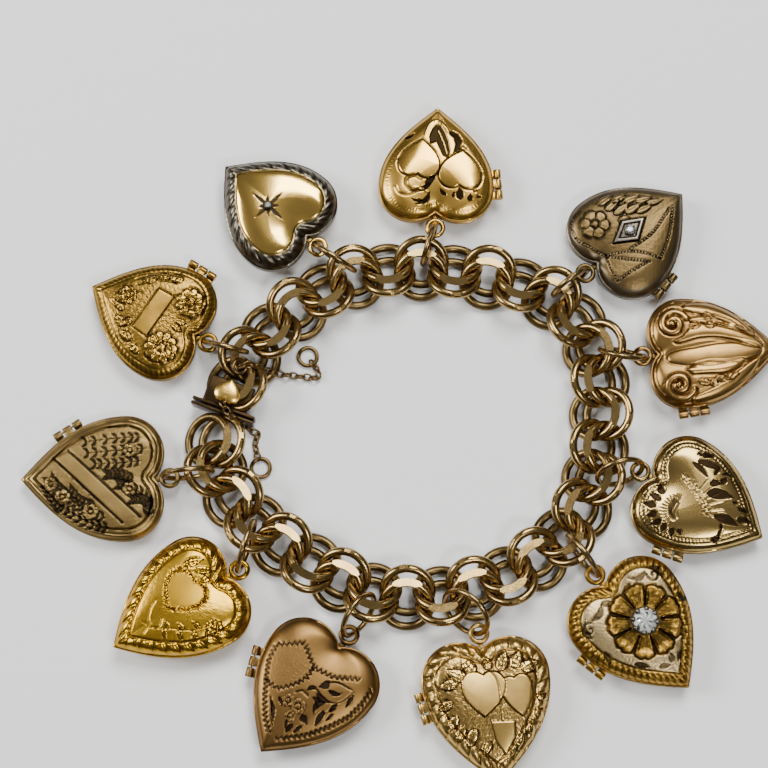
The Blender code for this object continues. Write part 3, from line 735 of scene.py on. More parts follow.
def reliefA(f):
    addTicks(f, 1.15, 1.75, 0.55, -0.06, 0.55, 0.3, 0.4)
    cover(f, band(f, -1, 0.5), tarnish=0.4)
    for x, y, angle, width, length in ((-4.0, 11.1, -95, 7.2, 6.7), (2.8, 9.3, -97, 7.0, 6.7)):
        outline = smallHeart(x, y, angle, width, length)
        addPanel(f, outline, 0.08, 0.0, 1.0, 0.3)
        addLine(f, outline, 0.32, -0.16, 0.95)
    for dark in (
            [(-2.0, 9.4), (-1.0, 8.9), (-0.4, 7.6), (0.1, 6.4), (1.1, 6.9), (1.3, 5.6), (0.8, 4.2),
             (0.1, 3.3), (-0.7, 3.7), (-1.3, 4.8), (-1.8, 6.2), (-2.1, 7.8)],
            [(-2.7, 8.5), (-3.8, 7.6), (-4.2, 6.0), (-3.5, 4.9), (-2.4, 4.4), (-1.9, 5.0), (-2.8, 5.7),
             (-3.1, 6.9)]):
        weight = areaWeight(f, dark, 0.22)
        f["h"] -= 0.16 * weight
        cover(f, weight, 1.0, 0.0)
    addLine(f, curve((-1.7, 8.6), (-1.1, 6.6), (-0.2, 4.4)), 0.22, 0.1, 0.1, 0.9)
    addLine(f, curve((-1.9, 4.9), (-1.2, 3.7), (0.0, 2.7), (1.2, 3.3), (2.0, 5.2)), 0.3, 0.1, 0.0, 1.0)
    addLine(f, curve((-4.9, 7.6), (-4.2, 7.0), (-3.6, 8.0)), 0.3, -0.12, 0.8)
    for x, y, angle, length, width, bend in (
            (0.2, 12.3, 58, 3.0, 1.0, -0.1), (0.8, 13.6, 20, 3.8, 0.8, 0.1), (1.0, 15.0, 40, 3.2, 0.8, 0.2),
            (2.0, 16.4, -6, 2.2, 0.5, 0.1), (5.4, 6.0, -150, 2.2, 0.7, 0), (-3.9, 16.3, -90, 2.1, 1.3, 0),
            (-5.6, 16.5, -92, 1.2, 0.9, 0), (-6.6, 15.7, 185, 1.0, 0.5, 0), (-2.7, 15.9, -110, 1.1, 0.5, 0),
            (-1.7, 15.5, -45, 1.6, 0.6, 0.1), (-6.0, 14.9, 200, 1.0, 0.4, 0)):
        addCut(f, x, y, angle, length, width, bend=bend)
    addLine(f, curve((3.0, 14.9), (4.6, 15.6), (6.0, 15.4), (6.7, 14.3)), 0.45, -0.16)
    addLine(f, curve((4.2, 14.8), (5.0, 13.9), (4.8, 12.8), (3.6, 12.4), (2.6, 12.9)), 0.62, -0.16)
    addLine(f, curve((1.4, 15.2), (2.2, 14.6), (3.6, 14.4)), 0.26, 0.1, 0.0, 1.0)


def reliefB(f):
    rim = band(f, -1, 2.0, 0.3)
    cover(f, rim, 0.34, 0.25, 1.0)
    addScallops(f, 0.5, 1.9, 2.9, 0.26, 0.7, 0.6)
    addTicks(f, 0.6, 1.8, 1.45, -0.1, 0.75, 1.3, 0.3)
    addGroove(f, 2.1, 0.3, -0.12, 0.75)
    addGroove(f, 0.4, 0.22, -0.08, 0.7)
    cover(f, band(f, 2.25, 20, 0.2), 0.0, 1.0, 0.0)
    x, y = 0.8, 10.4
    for angle, length in ((90, 3.3), (270, 3.6), (176, 3.4), (-4, 2.9)):
        addCut(f, x, y, angle, length, 0.55, -0.16)
    for angle in (45, 135, 225, 315):
        addCut(f, x, y, angle, 1.8, 0.6, -0.16)


def reliefC(f):
    addGroove(f, 1.5, 0.3, -0.1, 0.55)
    addTicks(f, 0.4, 1.3, 0.9, -0.07, 0.45, 0.5)
    ground = band(f, 1.7, 30)
    stipple(f, ground, 0.04, 0.5, 0.35)
    cover(f, ground, 0.30, 0.45)
    for points in (
            ((-7.2, 11.2), (-6.0, 8.6), (-4.0, 6.2)), ((-6.2, 12.4), (-5.4, 9.4), (-3.2, 6.8)),
            ((4.2, 8.6), (3.0, 6.6), (1.0, 4.6)), ((6.6, 11.0), (5.2, 8.6), (3.4, 6.8)),
            ((-2.4, 8.6), (-1.8, 6.4), (-0.4, 4.2))):
        addLine(f, curve(*points), 0.34, -0.1, 0.7)
    for x, y, angle, length, width in (
            (-7.2, 13.4, -75, 2.8, 1.3), (-6.8, 11.2, -60, 2.8, 1.3), (-5.6, 9.2, -50, 2.6, 1.2),
            (2.2, 8.9, -40, 2.6, 1.2), (3.9, 8.4, -115, 2.8, 1.3), (5.4, 10.4, -100, 3.0, 1.3),
            (6.9, 12.4, -110, 2.8, 1.2), (1.6, 7.0, -110, 2.4, 1.1), (0.6, 16.8, -100, 2.2, 1.0),
            (-0.9, 16.9, -80, 2.2, 1.0), (1.4, 5.6, -120, 2.0, 0.9)):
        addLeaf(f, x, y, angle, length, width, 0.2, 0.0, 0.85, 4, 0.7)
    addPanel(f, [(-4.2, 10.3), (-4.0, 13.3), (3.9, 12.2), (3.4, 9.3)], 0.08, 0.04, 0.3, 0.25)
    addLine(f, [(-4.2, 10.3), (-4.0, 13.3), (3.9, 12.2), (3.4, 9.3), (-4.2, 10.3)], 0.28, -0.14, 0.85)
    addFlower(f, -4.3, 16.1, 2.5, 9, 0.22, 10, 0.26, 0.0, 0.9)
    addFlower(f, 4.4, 15.2, 2.8, 10, 0.22, 0, 0.26, 0.0, 0.9)
    addLine(f, spiral(-4.3, 16.1, 2.75, 0.85, 210, -1), 0.28, -0.12, 0.8)
    addLine(f, spiral(4.4, 15.2, 3.1, 0.85, -40, 1), 0.28, -0.12, 0.8)
    addFlower(f, -1.0, 6.3, 1.6, 8, 0.26, 0, 0.3, 0.0, 1.0)


def reliefD(f):
    cover(f, band(f, -1, 1.5), 0.12, 0.7)
    addGroove(f, 0.95, 0.22, -0.12, 0.45)
    addGroove(f, 1.75, 0.4, -0.3, 0.7)
    ground = band(f, 1.95, 40)
    cover(f, ground, 0.22, 0.3)
    stipple(f, ground, 0.025, 0.42, 0.25)
    stalks = (
        ((-6.4, 19.4), (-6.3, 15.6), (-5.8, 10.2)), ((-4.6, 20.1), (-4.2, 15.6), (-3.9, 10.6)),
        ((-2.6, 19.4), (-2.2, 15.6), (-2.1, 11.9)), ((0.6, 18.2), (-0.4, 16.2), (-0.4, 13.9)),
        ((6.4, 20.8), (3.4, 20.2), (1.6, 17.6), (1.2, 15.6)), ((4.4, 21.4), (3.6, 19.4), (3.6, 17.9)),
        ((8.2, 14.4), (7.4, 10.8), (5.4, 7.6)), ((6.6, 13.8), (5.6, 11.0), (3.8, 8.4)),
        ((4.8, 12.2), (3.8, 9.8), (2.0, 8.0)), ((5.4, 7.0), (3.8, 5.6), (1.4, 4.2)),
        ((2.9, 7.7), (1.6, 6.2), (0.1, 4.9)))
    for points in stalks:
        line = curve(*points)
        addLine(f, line, 0.18, -0.1, 0.85)
        span = np.array(line)
        for i in range(1, len(span) - 1, 2):
            dx, dy = span[i + 1] - span[i]
            along = math.degrees(math.atan2(dy, dx))
            for way in (1, -1):
                addCut(f, span[i][0], span[i][1], along + way * 38, 1.4, 0.55, -0.14, 0.95, way * 0.12)
    for x, y, r in ((5.5, 11.4, 1.35), (3.1, 6.9, 1.3), (1.0, 4.9, 1.2), (1.9, 17.6, 1.2), (-4.3, 17.6, 1.2)):
        addFlower(f, x, y, r, 6, 0.2, 20, 0.3, 0.05, 0.7, 0.3, 0.9, 1.0)
    addPanel(f, [(-4.3, 7.9), (6.5, 19.5), (7.3, 16.3), (-3.1, 5.4)], 0.08, 0.14, 0.2, 0.25)
    addLine(f, [(-4.4, 7.7), (6.5, 19.4)], 0.42, -0.22, 1.0)
    addLine(f, [(-3.2, 5.3), (7.4, 16.5)], 0.42, -0.22, 1.0)


def reliefE(f):
    addScallops(f, 0.3, 2.1, 2.4, 0.4, 0.75, 0.7)
    addTicks(f, 0.4, 2.0, 0.8, -0.08, 0.35, 1.6)
    cover(f, band(f, -1, 0.35), 0.3)
    addGroove(f, 2.25, 0.4, -0.2, 0.5)
    ground = band(f, 2.4, 40)
    cover(f, ground, 0.12, 0.5)
    stipple(f, ground, 0.015, 0.6, 0.1)
    heart = smallHeart(-1.2, 13.6, -75, 6.2, 5.9)
    wreath = smallHeart(-1.2, 13.5, -75, 7.7, 7.4)
    weight = areaWeight(f, wreath, 0.3) * (1 - areaWeight(f, heart, 0.3))
    stipple(f, weight, 0.12, 0.55, 0.75)
    f["p"] = np.clip(f["p"] + 0.15 * weight, 0, 1)
    addPanel(f, heart, 0.02, 0.18, 0.05, 0.2)
    addBeadLine(f, heart, 0.2, 0.5, rise=0.12, ring=0.6)
    addLeaf(f, -4.9, 16.0, 75, 3.4, 1.3, 0.2, 0.0, 1.0, 5, 0.5)
    addLeaf(f, -3.4, 17.2, 55, 3.0, 1.3, 0.2, 0.0, 1.0, 5, 0.5)
    addLeaf(f, -2.2, 17.4, 25, 2.4, 1.0, 0.16, 0.0, 1.0, 4, 0.5)
    addFlower(f, 6.0, 15.2, 1.35, 7, 0.18, 0, 0.3, 0.2, 0.8)
    addLine(f, curve((5.4, 14.2), (4.4, 11.6), (2.6, 9.2), (0.8, 6.6)), 0.26, -0.1, 0.6)
    for x, y, angle in (
            (5.0, 13.2, -160), (4.6, 12.0, -10), (4.0, 11.0, -165), (3.4, 10.2, -15), (2.6, 9.2, -170),
            (2.0, 8.4, -25), (5.8, 14.0, -30)):
        addLeaf(f, x, y, angle, 1.8, 0.7, 0.12, 0.1, 0.9, 3, 0.5)
    addLine(f, curve((-2.4, 9.4), (-1.2, 7.6), (0.6, 6.8), (1.4, 8.0), (0.6, 8.8)), 0.26, -0.1, 0.5)
    addLine(f, curve((1.0, 5.2), (0.4, 6.4), (-0.8, 6.0)), 0.26, -0.1, 0.5)


def reliefF(f):
    cover(f, band(f, -1, 2.0), 0.1, 0.6)
    cover(f, band(f, 2.0, 40, 0.4), 0.10, 0.45)
    panel = [
        (-4.6, 17.4), (-8.1, 14.6), (-7.6, 12.0), (-5.9, 9.2), (-3.6, 9.2), (-2.0, 11.3), (-1.0, 13.3),
        (-1.2, 15.3)]
    stipple(f, areaWeight(f, panel), 0.03, 0.35, 0.15)
    cover(f, areaWeight(f, panel), 0.12, 0.0)
    for points in (panel + [panel[0]], [(-1.2, 15.3), (2.2, 15.9), (5.9, 18.2)],
                   [(8.1, 18.0), (8.3, 15.4), (7.8, 12.4), (6.3, 9.4), (4.2, 6.2), (2.2, 4.2), (0.6, 2.8)],
                   [(-6.0, 9.4), (-4.6, 7.2), (-2.6, 4.6), (-0.4, 2.9)]):
        addLine(f, wriggle(points, 0.3, 0.8), 0.28, -0.14, 0.95)
    for points, width in (
            (((1.9, 14.6), (3.2, 15.6), (5.6, 16.0)), 0.26),
            (((0.2, 12.1), (1.2, 12.8), (2.4, 12.5), (4.2, 12.5), (5.5, 13.6), (6.1, 16.0)), 0.26),
            (((-1.1, 10.6), (-0.4, 11.3), (0.8, 11.2)), 0.4), (((3.0, 13.9), (4.0, 13.9), (4.7, 14.7)), 0.24),
            (((-3.8, 7.6), (-2.8, 6.6), (-1.9, 5.3), (-0.9, 4.3)), 0.26),
            (((4.3, 10.2), (4.9, 11.2), (5.2, 12.6)), 0.2)):
        addLine(f, curve(*points), width, -0.12, 0.9)
    for x, y, angle, length, width, bend in (
            (2.1, 15.0, -115, 1.9, 1.1, 0.12), (0.1, 11.9, 52, 1.6, 0.6, 0.1),
            (1.6, 12.3, 5, 2.6, 0.9, -0.12), (2.9, 13.8, 20, 2.0, 0.7, -0.1), (6.4, 15.6, -85, 2.3, 0.6, 0),
            (1.4, 11.5, -35, 2.0, 0.8, 0.3), (3.5, 12.0, -95, 2.6, 0.9, -0.25), (4.2, 10.9, -85, 2.8, 0.9, 0),
            (5.2, 12.9, -100, 1.9, 0.7, 0), (5.6, 11.4, -100, 1.8, 0.4, 0), (1.7, 8.2, -20, 1.7, 1.1, 0),
            (2.8, 7.0, -105, 1.8, 0.6, 0), (1.5, 6.4, -95, 1.8, 0.7, 0), (0.4, 6.2, -60, 1.2, 0.5, 0),
            (-3.4, 7.2, -48, 3.2, 0.6, 0.06), (-2.8, 8.4, -30, 1.6, 0.4, 0)):
        addCut(f, x, y, angle, length, width, bend=bend)
    for x, y, radius in ((0.5, 9.0, 1.25), (-1.3, 8.8, 1.0), (0.4, 7.1, 0.9)):
        addFlower(f, x, y, radius, 5, 0.1, 20, 0.34, 0.1, 0.6, 0.3, 0.9, 1.0)


def reliefG(f):
    addScallops(f, 0.2, 2.2, 2.5, 0.45, 0.8, 0.6)
    addTicks(f, 0.3, 2.0, 0.62, -0.07, 0.3, 1.0)
    addGroove(f, 2.3, 0.35, -0.16, 0.6)
    ground = band(f, 2.4, 40)
    cover(f, ground, 0.34, 0.6)
    stipple(f, ground, 0.05, 0.55, 0.3)
    for x, y, angle, length, width in (
            (-1.6, 16.9, 120, 3.6, 1.9), (-3.0, 16.4, 150, 3.6, 2.0), (-4.4, 16.2, 190, 3.2, 1.8),
            (2.2, 17.0, 65, 3.4, 1.9), (4.4, 17.2, 60, 3.0, 2.1), (5.6, 16.8, 20, 3.0, 2.0),
            (0.6, 17.4, 95, 2.2, 1.4), (-5.6, 13.2, 200, 2.6, 1.6), (-5.2, 11.0, 230, 2.8, 1.6),
            (-4.4, 9.4, 240, 3.0, 1.6), (-2.6, 8.8, 240, 3.4, 1.7), (7.4, 12.6, -20, 2.0, 1.4),
            (7.2, 10.6, -70, 2.6, 1.4), (5.8, 8.6, -90, 2.8, 1.5), (4.2, 7.4, -110, 3.0, 1.5),
            (-0.6, 6.6, -120, 2.6, 1.2), (3.0, 5.8, -120, 2.6, 1.2)):
        addLeaf(f, x, y, angle, length, width, 0.3, 0.0, 0.9, 5, 0.75)
    for x, y, angle, width, length in ((4.6, 12.9, -85, 5.0, 6.6), (-0.7, 13.8, -95, 7.0, 7.2)):
        outline = smallHeart(x, y, angle, width, length)
        addPanel(f, outline, 0.42, 0.02, 0.35, 0.5)
        addLine(f, outline, 0.3, -0.12, 0.8)
    shield = [(-0.2, 9.6), (3.6, 9.2), (3.4, 6.6), (1.4, 4.0), (0.2, 6.2)]
    addPanel(f, shield, 0.22, 0.08, 0.7, 0.5)
    addLine(f, shield + [shield[0]], 0.26, -0.1, 0.7)
    addLine(f, curve((0.6, 17.6), (1.6, 15.4), (1.7, 12.4), (1.6, 9.4)), 0.3, -0.1, 0.7)


def reliefH(f):
    addScallops(f, 0.15, 1.75, 1.15, 0.28, 0.85, 0.8)
    cover(f, band(f, -1, 1.8), tone=0.0)
    addGroove(f, 1.95, 0.35, -0.16, 0.8)
    ground = band(f, 2.1, 40)
    cover(f, ground, 0.05, 0.35, 1.0)
    stipple(f, ground, 0.03, 0.4, 0.12)
    x0, y0 = 1.0, 12.3
    for angle in range(-90, 270, 40):
        u, v = localUV(f, x0, y0, angle)
        t = (u - 2.0) / 4.0
        half = 0.55 + 1.25 * np.clip(t, 0, 1) ** 0.8
        end = 1.0 - 0.22 * (v / 1.8) ** 2 - 0.07 * np.exp(-(v / 0.35) ** 2)
        across = np.abs(v) / half
        body = smoothStep((1.05 - across) / 0.2) * smoothStep((end - t) / 0.08) * smoothStep(t / 0.06)
        ring = smoothStep((1.35 - across) / 0.25) * smoothStep((end + 0.12 - t) / 0.08)
        ring = ring * smoothStep((t + 0.1) / 0.1) * (1 - body)
        bowl = smoothStep((0.9 - np.maximum(across, t / end)) / 0.35)
        f["h"] += body * (0.44 - 0.24 * bowl) - 0.12 * ring
        cover(f, ring, 0.95, 0.2, 0.0)
        cover(f, body, None, 0.6, 0.0)
        f["p"] = f["p"] * (1 - body) + body * (0.12 + 0.45 * bowl + 0.25 * (1 - np.clip(t, 0, 1)))
    r = np.hypot(f["x"] - x0, f["y"] - y0)
    collar = smoothStep((2.6 - r) / 0.2)
    f["h"] = f["h"] * (1 - collar) + 0.25 * collar
    cover(f, collar, 0.75, 0.4, 0.0)
    for x, y, angle, length, bend in (
            (-7.2, 15.0, 70, 3.6, 0.2), (-5.6, 17.6, 20, 3.4, -0.2), (-2.6, 18.6, -30, 2.2, 0),
            (7.9, 15.6, 110, 3.4, -0.2), (6.2, 18.2, 160, 3.2, 0.2), (3.0, 18.4, 210, 2.0, 0),
            (-7.0, 12.6, 250, 2.6, 0.1), (8.0, 12.6, -70, 2.6, -0.1), (-4.6, 8.2, -50, 2.6, 0),
            (5.6, 8.0, -130, 2.6, 0), (-1.8, 5.4, -30, 2.0, 0), (2.8, 5.2, 210, 2.0, 0),
            (0.3, 4.6, 60, 1.6, 0)):
        addCut(f, x, y, angle, length, 0.95, -0.14, 0.8, bend)
    for x, y, turn in ((-6.6, 16.6, 40), (6.9, 17.0, 140)):
        addLine(f, spiral(x, y, 1.15, 1.1, turn, 1), 0.4, -0.12, 0.85)


def reliefI(f):
    cover(f, band(f, -1, 2.0), 0.08, 0.8)
    addGroove(f, 1.3, 0.2, -0.1, 0.7)
    addGroove(f, 2.0, 0.2, -0.1, 0.7)
    addTicks(f, 1.35, 1.95, 0.7, -0.08, 0.6, 0.6)
    cover(f, band(f, 2.1, 40), 0.03, 0.9)
    for x, y, angle, length, width in (
            (-4.1, 17.2, 104, 2.0, 1.2), (-2.9, 16.9, 88, 2.2, 1.0), (-2.0, 17.1, 42, 1.9, 1.1),
            (-5.1, 16.5, 132, 1.9, 1.1), (-5.8, 15.3, 136, 2.0, 1.0), (-5.8, 14.5, 178, 1.7, 1.1),
            (-6.0, 13.4, 205, 1.5, 1.0), (-5.7, 12.5, 235, 1.2, 0.7)):
        addCut(f, x, y, angle, length, width)
    for angle in range(10, 181, 14):
        a = math.radians(angle)
        addCut(f, -3.3 + 1.5 * math.cos(a), 14.3 + 1.1 * math.sin(a), angle, 1.3, 0.26, -0.08, 0.7)
    addLine(f, curve((-4.6, 13.9), (-4.0, 14.7), (-3.0, 15.1), (-2.0, 14.9)), 0.8, -0.14, 0.85)
    addLine(f, curve((-4.2, 13.4), (-3.4, 14.1), (-2.2, 14.3)), 0.3, -0.1, 0.7)
    for angle in range(-70, -9, 12):
        a = math.radians(angle)
        ray = [(-3.0 + r * math.cos(a), 13.2 + r * math.sin(a)) for r in (4.6, 6.6)]
        addLine(f, ray, 0.2, -0.06, 0.35)
    for x, y, angle, length, width, bend in (
            (5.5, 14.8, -82, 4.0, 1.2, 0.05), (4.9, 15.4, -108, 3.6, 0.8, 0.05),
            (6.5, 15.4, -72, 2.8, 0.6, 0), (7.3, 14.6, -80, 1.8, 0.5, 0), (3.0, 11.4, -62, 1.9, 1.1, 0.15),
            (4.0, 9.9, -20, 1.4, 0.9, 0), (5.4, 10.4, -85, 1.9, 0.6, 0.25), (6.0, 11.2, 170, 1.4, 0.5, 0),
            (1.5, 11.2, -70, 4.4, 1.7, 0.05), (-1.1, 8.5, -84, 4.3, 1.5, 0.05), (2.2, 6.8, -55, 1.3, 0.5, 0),
            (2.0, 5.9, -92, 2.2, 0.7, 0), (0.1, 5.0, -72, 2.4, 1.2, 0.1), (-4.6, 6.9, -50, 1.4, 0.9, 0),
            (-3.9, 6.3, 4, 2.0, 0.5, 0), (-2.4, 6.5, 30, 1.0, 0.5, 0)):
        addCut(f, x, y, angle, length, width, bend=bend)
    # a stippled band down the middle of the heart, darkened as painted shade where the middle lies in shadow
    stippleShadeLine = np.array(curve((2.2, 15.6), (1.4, 13.4), (0.2, 11.4), (-1.6, 9.4)))
    near = lineDistance(f, stippleShadeLine, 1.2)
    stipple(f, smoothStep(1.2 - near / 0.8), 0.05, 0.4, 0.5)


def swell(field, points, width, rise, tarnish=0.02, polish=0.75, taper=True, edge=0.6):
    # a raised, rounded frond that thins out towards its end
    points = np.array(points, float)
    x, y = field["x"], field["y"]
    best = np.full(x.shape, 1e3)
    count = len(points) - 1
    for i, (a, b) in enumerate(zip(points[:-1], points[1:])):
        dx, dy = b - a
        t = np.clip(((x - a[0]) * dx + (y - a[1]) * dy) / max(dx * dx + dy * dy, 1e-9), 0, 1)
        near = np.hypot(x - a[0] - t * dx, y - a[1] - t * dy)
        share = (i + t) / count
        half = width / 2 * (np.sin(np.pi * (0.12 + 0.86 * share)) ** 0.7 if taper else 1)
        best = np.minimum(best, near / np.maximum(half, 0.05))
    body = np.sqrt(np.clip(1 - best ** 2, 0, 1))
    line = smoothStep(1 - np.abs(best - 1.15) / 0.4)
    weight = smoothStep((1.1 - best) / 0.2)
    field["h"] += rise * body - 0.1 * line
    cover(field, weight, tarnish, polish)
    field["p"] = np.clip(field["p"] + edge * line, 0, 1)


def reliefJ(f):
    cover(f, band(f, -1, 0.6), 0.25)
    cover(f, band(f, 0.6, 40), 0.14, 0.6)
    swell(f, curve((-0.9, 17.7), (-1.0, 13.4), (-0.7, 9.4), (-0.5, 5.4), (-0.3, 3.4)), 3.4, 0.26, edge=0.25)
    swell(f, curve((1.9, 16.6), (3.1, 13.0), (3.0, 9.0), (1.4, 4.8), (0.3, 3.2)), 2.5, 0.34, edge=0.4)
    swell(f, curve((7.2, 14.8), (6.6, 10.8), (4.6, 7.2), (2.0, 4.2)), 2.3, 0.34, edge=0.4)
    swell(f, curve((5.0, 14.2), (5.0, 11.0), (4.0, 7.8), (2.6, 5.6)), 1.5, 0.3, edge=0.5)
    swell(f, curve((-8.0, 14.4), (-7.0, 10.6), (-4.6, 6.8), (-1.8, 3.8)), 2.4, 0.34, edge=0.4)
    swell(f, curve((-3.4, 15.4), (-3.0, 12.2), (-3.0, 9.0), (-1.9, 6.0)), 2.0, 0.34, edge=0.45)
    for x, y, angle, length in (
            (-5.0, 14.0, 255, 2.6), (-5.6, 12.2, 280, 2.4), (-4.6, 11.2, 262, 2.6), (-4.9, 9.4, 290, 2.4),
            (3.9, 14.8, -80, 2.4), (5.9, 12.6, -105, 2.4), (4.0, 12.2, -88, 2.2)):
        addLeaf(f, x, y, angle, length, 1.2, 0.22, 0.0, 0.8, 3, 0.6)
    for sign, x, y, r, start in ((1, 4.6, 17.2, 2.35, -70), (-1, -5.6, 16.9, 2.5, 250)):
        near = smoothStep((r + 0.4 - np.hypot(f["x"] - x, f["y"] - y)) / 0.3)
        f["h"] *= 1 - near
        cover(f, near, 0.35)
        swell(f, spiral(x, y, r, 1.6, start, sign, 60), 1.05, 0.3, 0.0, 0.85, False, 0.5)
        addBead(f, x, y, 0.6, 0.3, 0.0, 1.0, 0.6)
    addGroove(f, 0.75, 0.25, -0.1, 0.4)


def reliefK(f):
    cover(f, band(f, -1, 1.2), 0.30, 0.4, 0.4)
    cover(f, band(f, 1.2, 40), 0.16, 0.35)
    stipple(f, band(f, 1.2, 40), 0.02, 0.5, 0.12)
    for points in (
            ((-4.6, 18.2), (-2.4, 17.7), (-0.2, 16.9)), ((-0.2, 16.9), (-2.8, 14.8), (-5.4, 12.2)),
            ((-4.6, 18.2), (-4.9, 15.4), (-5.4, 12.2)),
            ((-0.2, 16.9), (-1.8, 14.0), (-3.8, 12.0), (-6.2, 10.3)),
            ((-6.2, 10.3), (-4.2, 6.8), (-0.8, 2.9)), ((-1.9, 13.2), (-2.2, 9.0), (-1.5, 6.0), (-0.7, 3.6)),
            ((-0.2, 16.9), (2.0, 17.8), (4.9, 18.7), (7.6, 17.6), (8.3, 15.2))):
        line = curve(*points)
        addLine(f, line, 0.5, -0.1, 0.8)
        addBeadLine(f, line, 0.2, 0.52, rise=0.13, ring=0.5, tarnish=0.3, tone=0.15)
    fan = areaWeight(f, [(2.6, 11.6), (5.0, 12.0), (7.9, 12.9), (7.5, 10.0), (5.2, 6.6), (2.6, 4.2),
                         (0.6, 3.6), (1.0, 6.6), (1.9, 9.2)], 0.8)
    cover(f, fan, 0.42, 0.3)
    for x, y, angle, length, width in (
            (2.4, 6.2, -118, 2.9, 1.2), (3.7, 7.4, -112, 3.0, 1.3), (2.2, 8.6, -104, 3.2, 1.3),
            (4.9, 8.9, -106, 3.0, 1.4), (3.2, 10.0, -98, 3.1, 1.4), (6.2, 10.6, -102, 3.0, 1.4),
            (4.2, 11.6, -92, 3.2, 1.5), (7.2, 12.5, -96, 3.0, 1.4), (5.6, 12.2, -90, 3.0, 1.5),
            (2.9, 11.8, -112, 2.2, 1.2)):
        addLeaf(f, x, y, angle, length, width, 0.34, 0.06, 0.7, 0, 0.55, 0.0)
    addFlower(f, 4.9, 15.0, 2.5, 6, 0.36, 15, 0.24, 0.05, 0.6, 0.3, 0.8, 1.0)
    lozenge = [(0.6, 14.8), (2.6, 11.3), (0.6, 7.8), (-1.7, 11.3)]
    addPanel(f, lozenge, 0.36, 0.0, 0.8, 0.2, 0.8)
    addLine(f, lozenge + [lozenge[0]], 0.34, -0.14, 0.95)
    inner = [(0.5 + (x - 0.5) * 0.62, 11.3 + (y - 11.3) * 0.62) for x, y in lozenge]
    addPanel(f, inner, 0.14, 0.45, 0.6, 0.2, 0.8)
    addLine(f, inner + [inner[0]], 0.26, -0.1, 0.95)


reliefs = dict(zip("abcdefghijk", (reliefA, reliefB, reliefC, reliefD, reliefE, reliefF, reliefG, reliefH,
                                   reliefI, reliefJ, reliefK)))


def polarShell(name, levels, around):
    # a closed skin from rows of points: levels holds one (x, y, z) set of arrays in millimetres per row
    deselect()
    total = len(levels)
    bpy.ops.mesh.primitive_grid_add(x_subdivisions=around, y_subdivisions=total - 1, size=2)
    shell = bpy.context.object
    shell.name = name
    mesh = shell.data
    coords = np.stack([np.stack(level, 1) for level in levels]) * mm
    mesh.vertices.foreach_set("co", coords.astype(np.float32).ravel())
    mesh.update()
    return shell


def evenField(obj, patina, polish, tone=0.0):
    count = len(obj.data.vertices)
    addField(obj, patina=np.full(count, patina), polish=np.full(count, polish), tone=np.full(count, tone))


def closeSkin(obj):
    editMesh(obj)
    bpy.ops.mesh.remove_doubles(threshold=0.002 * mm)
    bpy.ops.mesh.normals_make_consistent(inside=False)
    bpy.ops.object.mode_set(mode="OBJECT")


def makeHeartShell(name, letter, up, relief=None):
    # rows run from the middle of the inner face round the rim to the middle of the outer face
    spec = hearts[letter]
    width, length, height = spec["width"], spec["length"], spec["height"]
    middle = height / 2
    solid = spec["hinge"] is None
    edge = middle + (0.0 if solid else up * heartShape["gap"] / 2)
    top = height if up > 0 else 0.0
    rise = abs(top - edge)
    rimTop = edge + up * heartShape["rim"] * rise
    around = heartShape["coverAround" if up > 0 else "around"]
    loop = heartOutline(width, length, around)
    centre = np.array((0, 0.6 * length))
    hollow = 0.0 if solid or up > 0 else 0.6
    inner = [(0.0, edge + up * hollow), (0.80, edge + up * hollow), (0.83, edge + up * 0.02), (0.965, edge)]
    wall = [(0.99, edge), (1.0, edge + up * 0.07), (1.0, rimTop - up * 0.1), (0.994, rimTop - up * 0.03),
            (0.985, rimTop)]
    rows = heartShape["rows"] if up > 0 else 16
    shares = 0.985 * (1 - np.linspace(0, 1, rows + 1)[1:])
    skirt = inner + wall
    levels = []
    for share, level in skirt:
        x = centre[0] + (loop[:, 0] - centre[0]) * share
        y = centre[1] + (loop[:, 1] - centre[1]) * share
        levels.append([x, y, np.full(x.shape, level)])
    dx = centre[0] + (loop[:, 0] - centre[0])[None] * shares[:, None]
    dy = centre[1] + (loop[:, 1] - centre[1])[None] * shares[:, None]
    step = 4 if up > 0 else 8
    away = edgeDistance(dx, dy, loop[::step])
    halves = loop[: around // 2 + 1], loop[around // 2:]
    left, right = (edgeDistance(dx, dy, half[::step]) for half in halves)
    soft = 1.3 * away + 1e-6
    ridge = away - np.clip(soft - np.abs(left - right), 0, None) ** 2 / (4 * soft)
    reach = heartShape["domeReach"] * width
    dz = rimTop + (top - rimTop) * domeProfile((ridge - ridge[0].mean()) / reach)
    patina = np.full((len(skirt) + rows, around + 1), 0.2)
    polish = np.full((len(skirt) + rows, around + 1), 0.6)
    tone = np.full((len(skirt) + rows, around + 1), 1.0 if letter in "bk" else 0.0)
    if relief:
        field = newField(dx, dy)
        field["d"] = away
        spacing = np.linalg.norm(np.diff(loop, axis=0), axis=1).mean()
        field["u"] = np.broadcast_to(np.arange(around + 1) * spacing, dx.shape)
        relief(field)
        dz = dz + up * field["h"] * smoothStep(away / 0.35)
        patina[len(skirt):] = field["p"]
        polish[len(skirt):] = field["s"]
        tone[len(skirt):] = field["t"]
    # the inner faces and the side walls are coloured darker than the dome: painted shade in the gap between
    # the halves and on the walls
    patina[: len(inner)] = 0.45
    patina[len(inner): len(skirt) - 2] = 0.35
    for i in range(rows):
        levels.append([dx[i], dy[i], dz[i]])
    shell = polarShell(name, levels, around)
    addField(shell, patina=patina, polish=polish, tone=tone)
    closeSkin(shell)
    return shell


hinge = {"barrel": 5.0 * mm, "radius": 0.62 * mm, "bore": 0.44 * mm, "pin": 0.15 * mm, "tab": 0.4 * mm,
         "gap": 0.3 * mm}


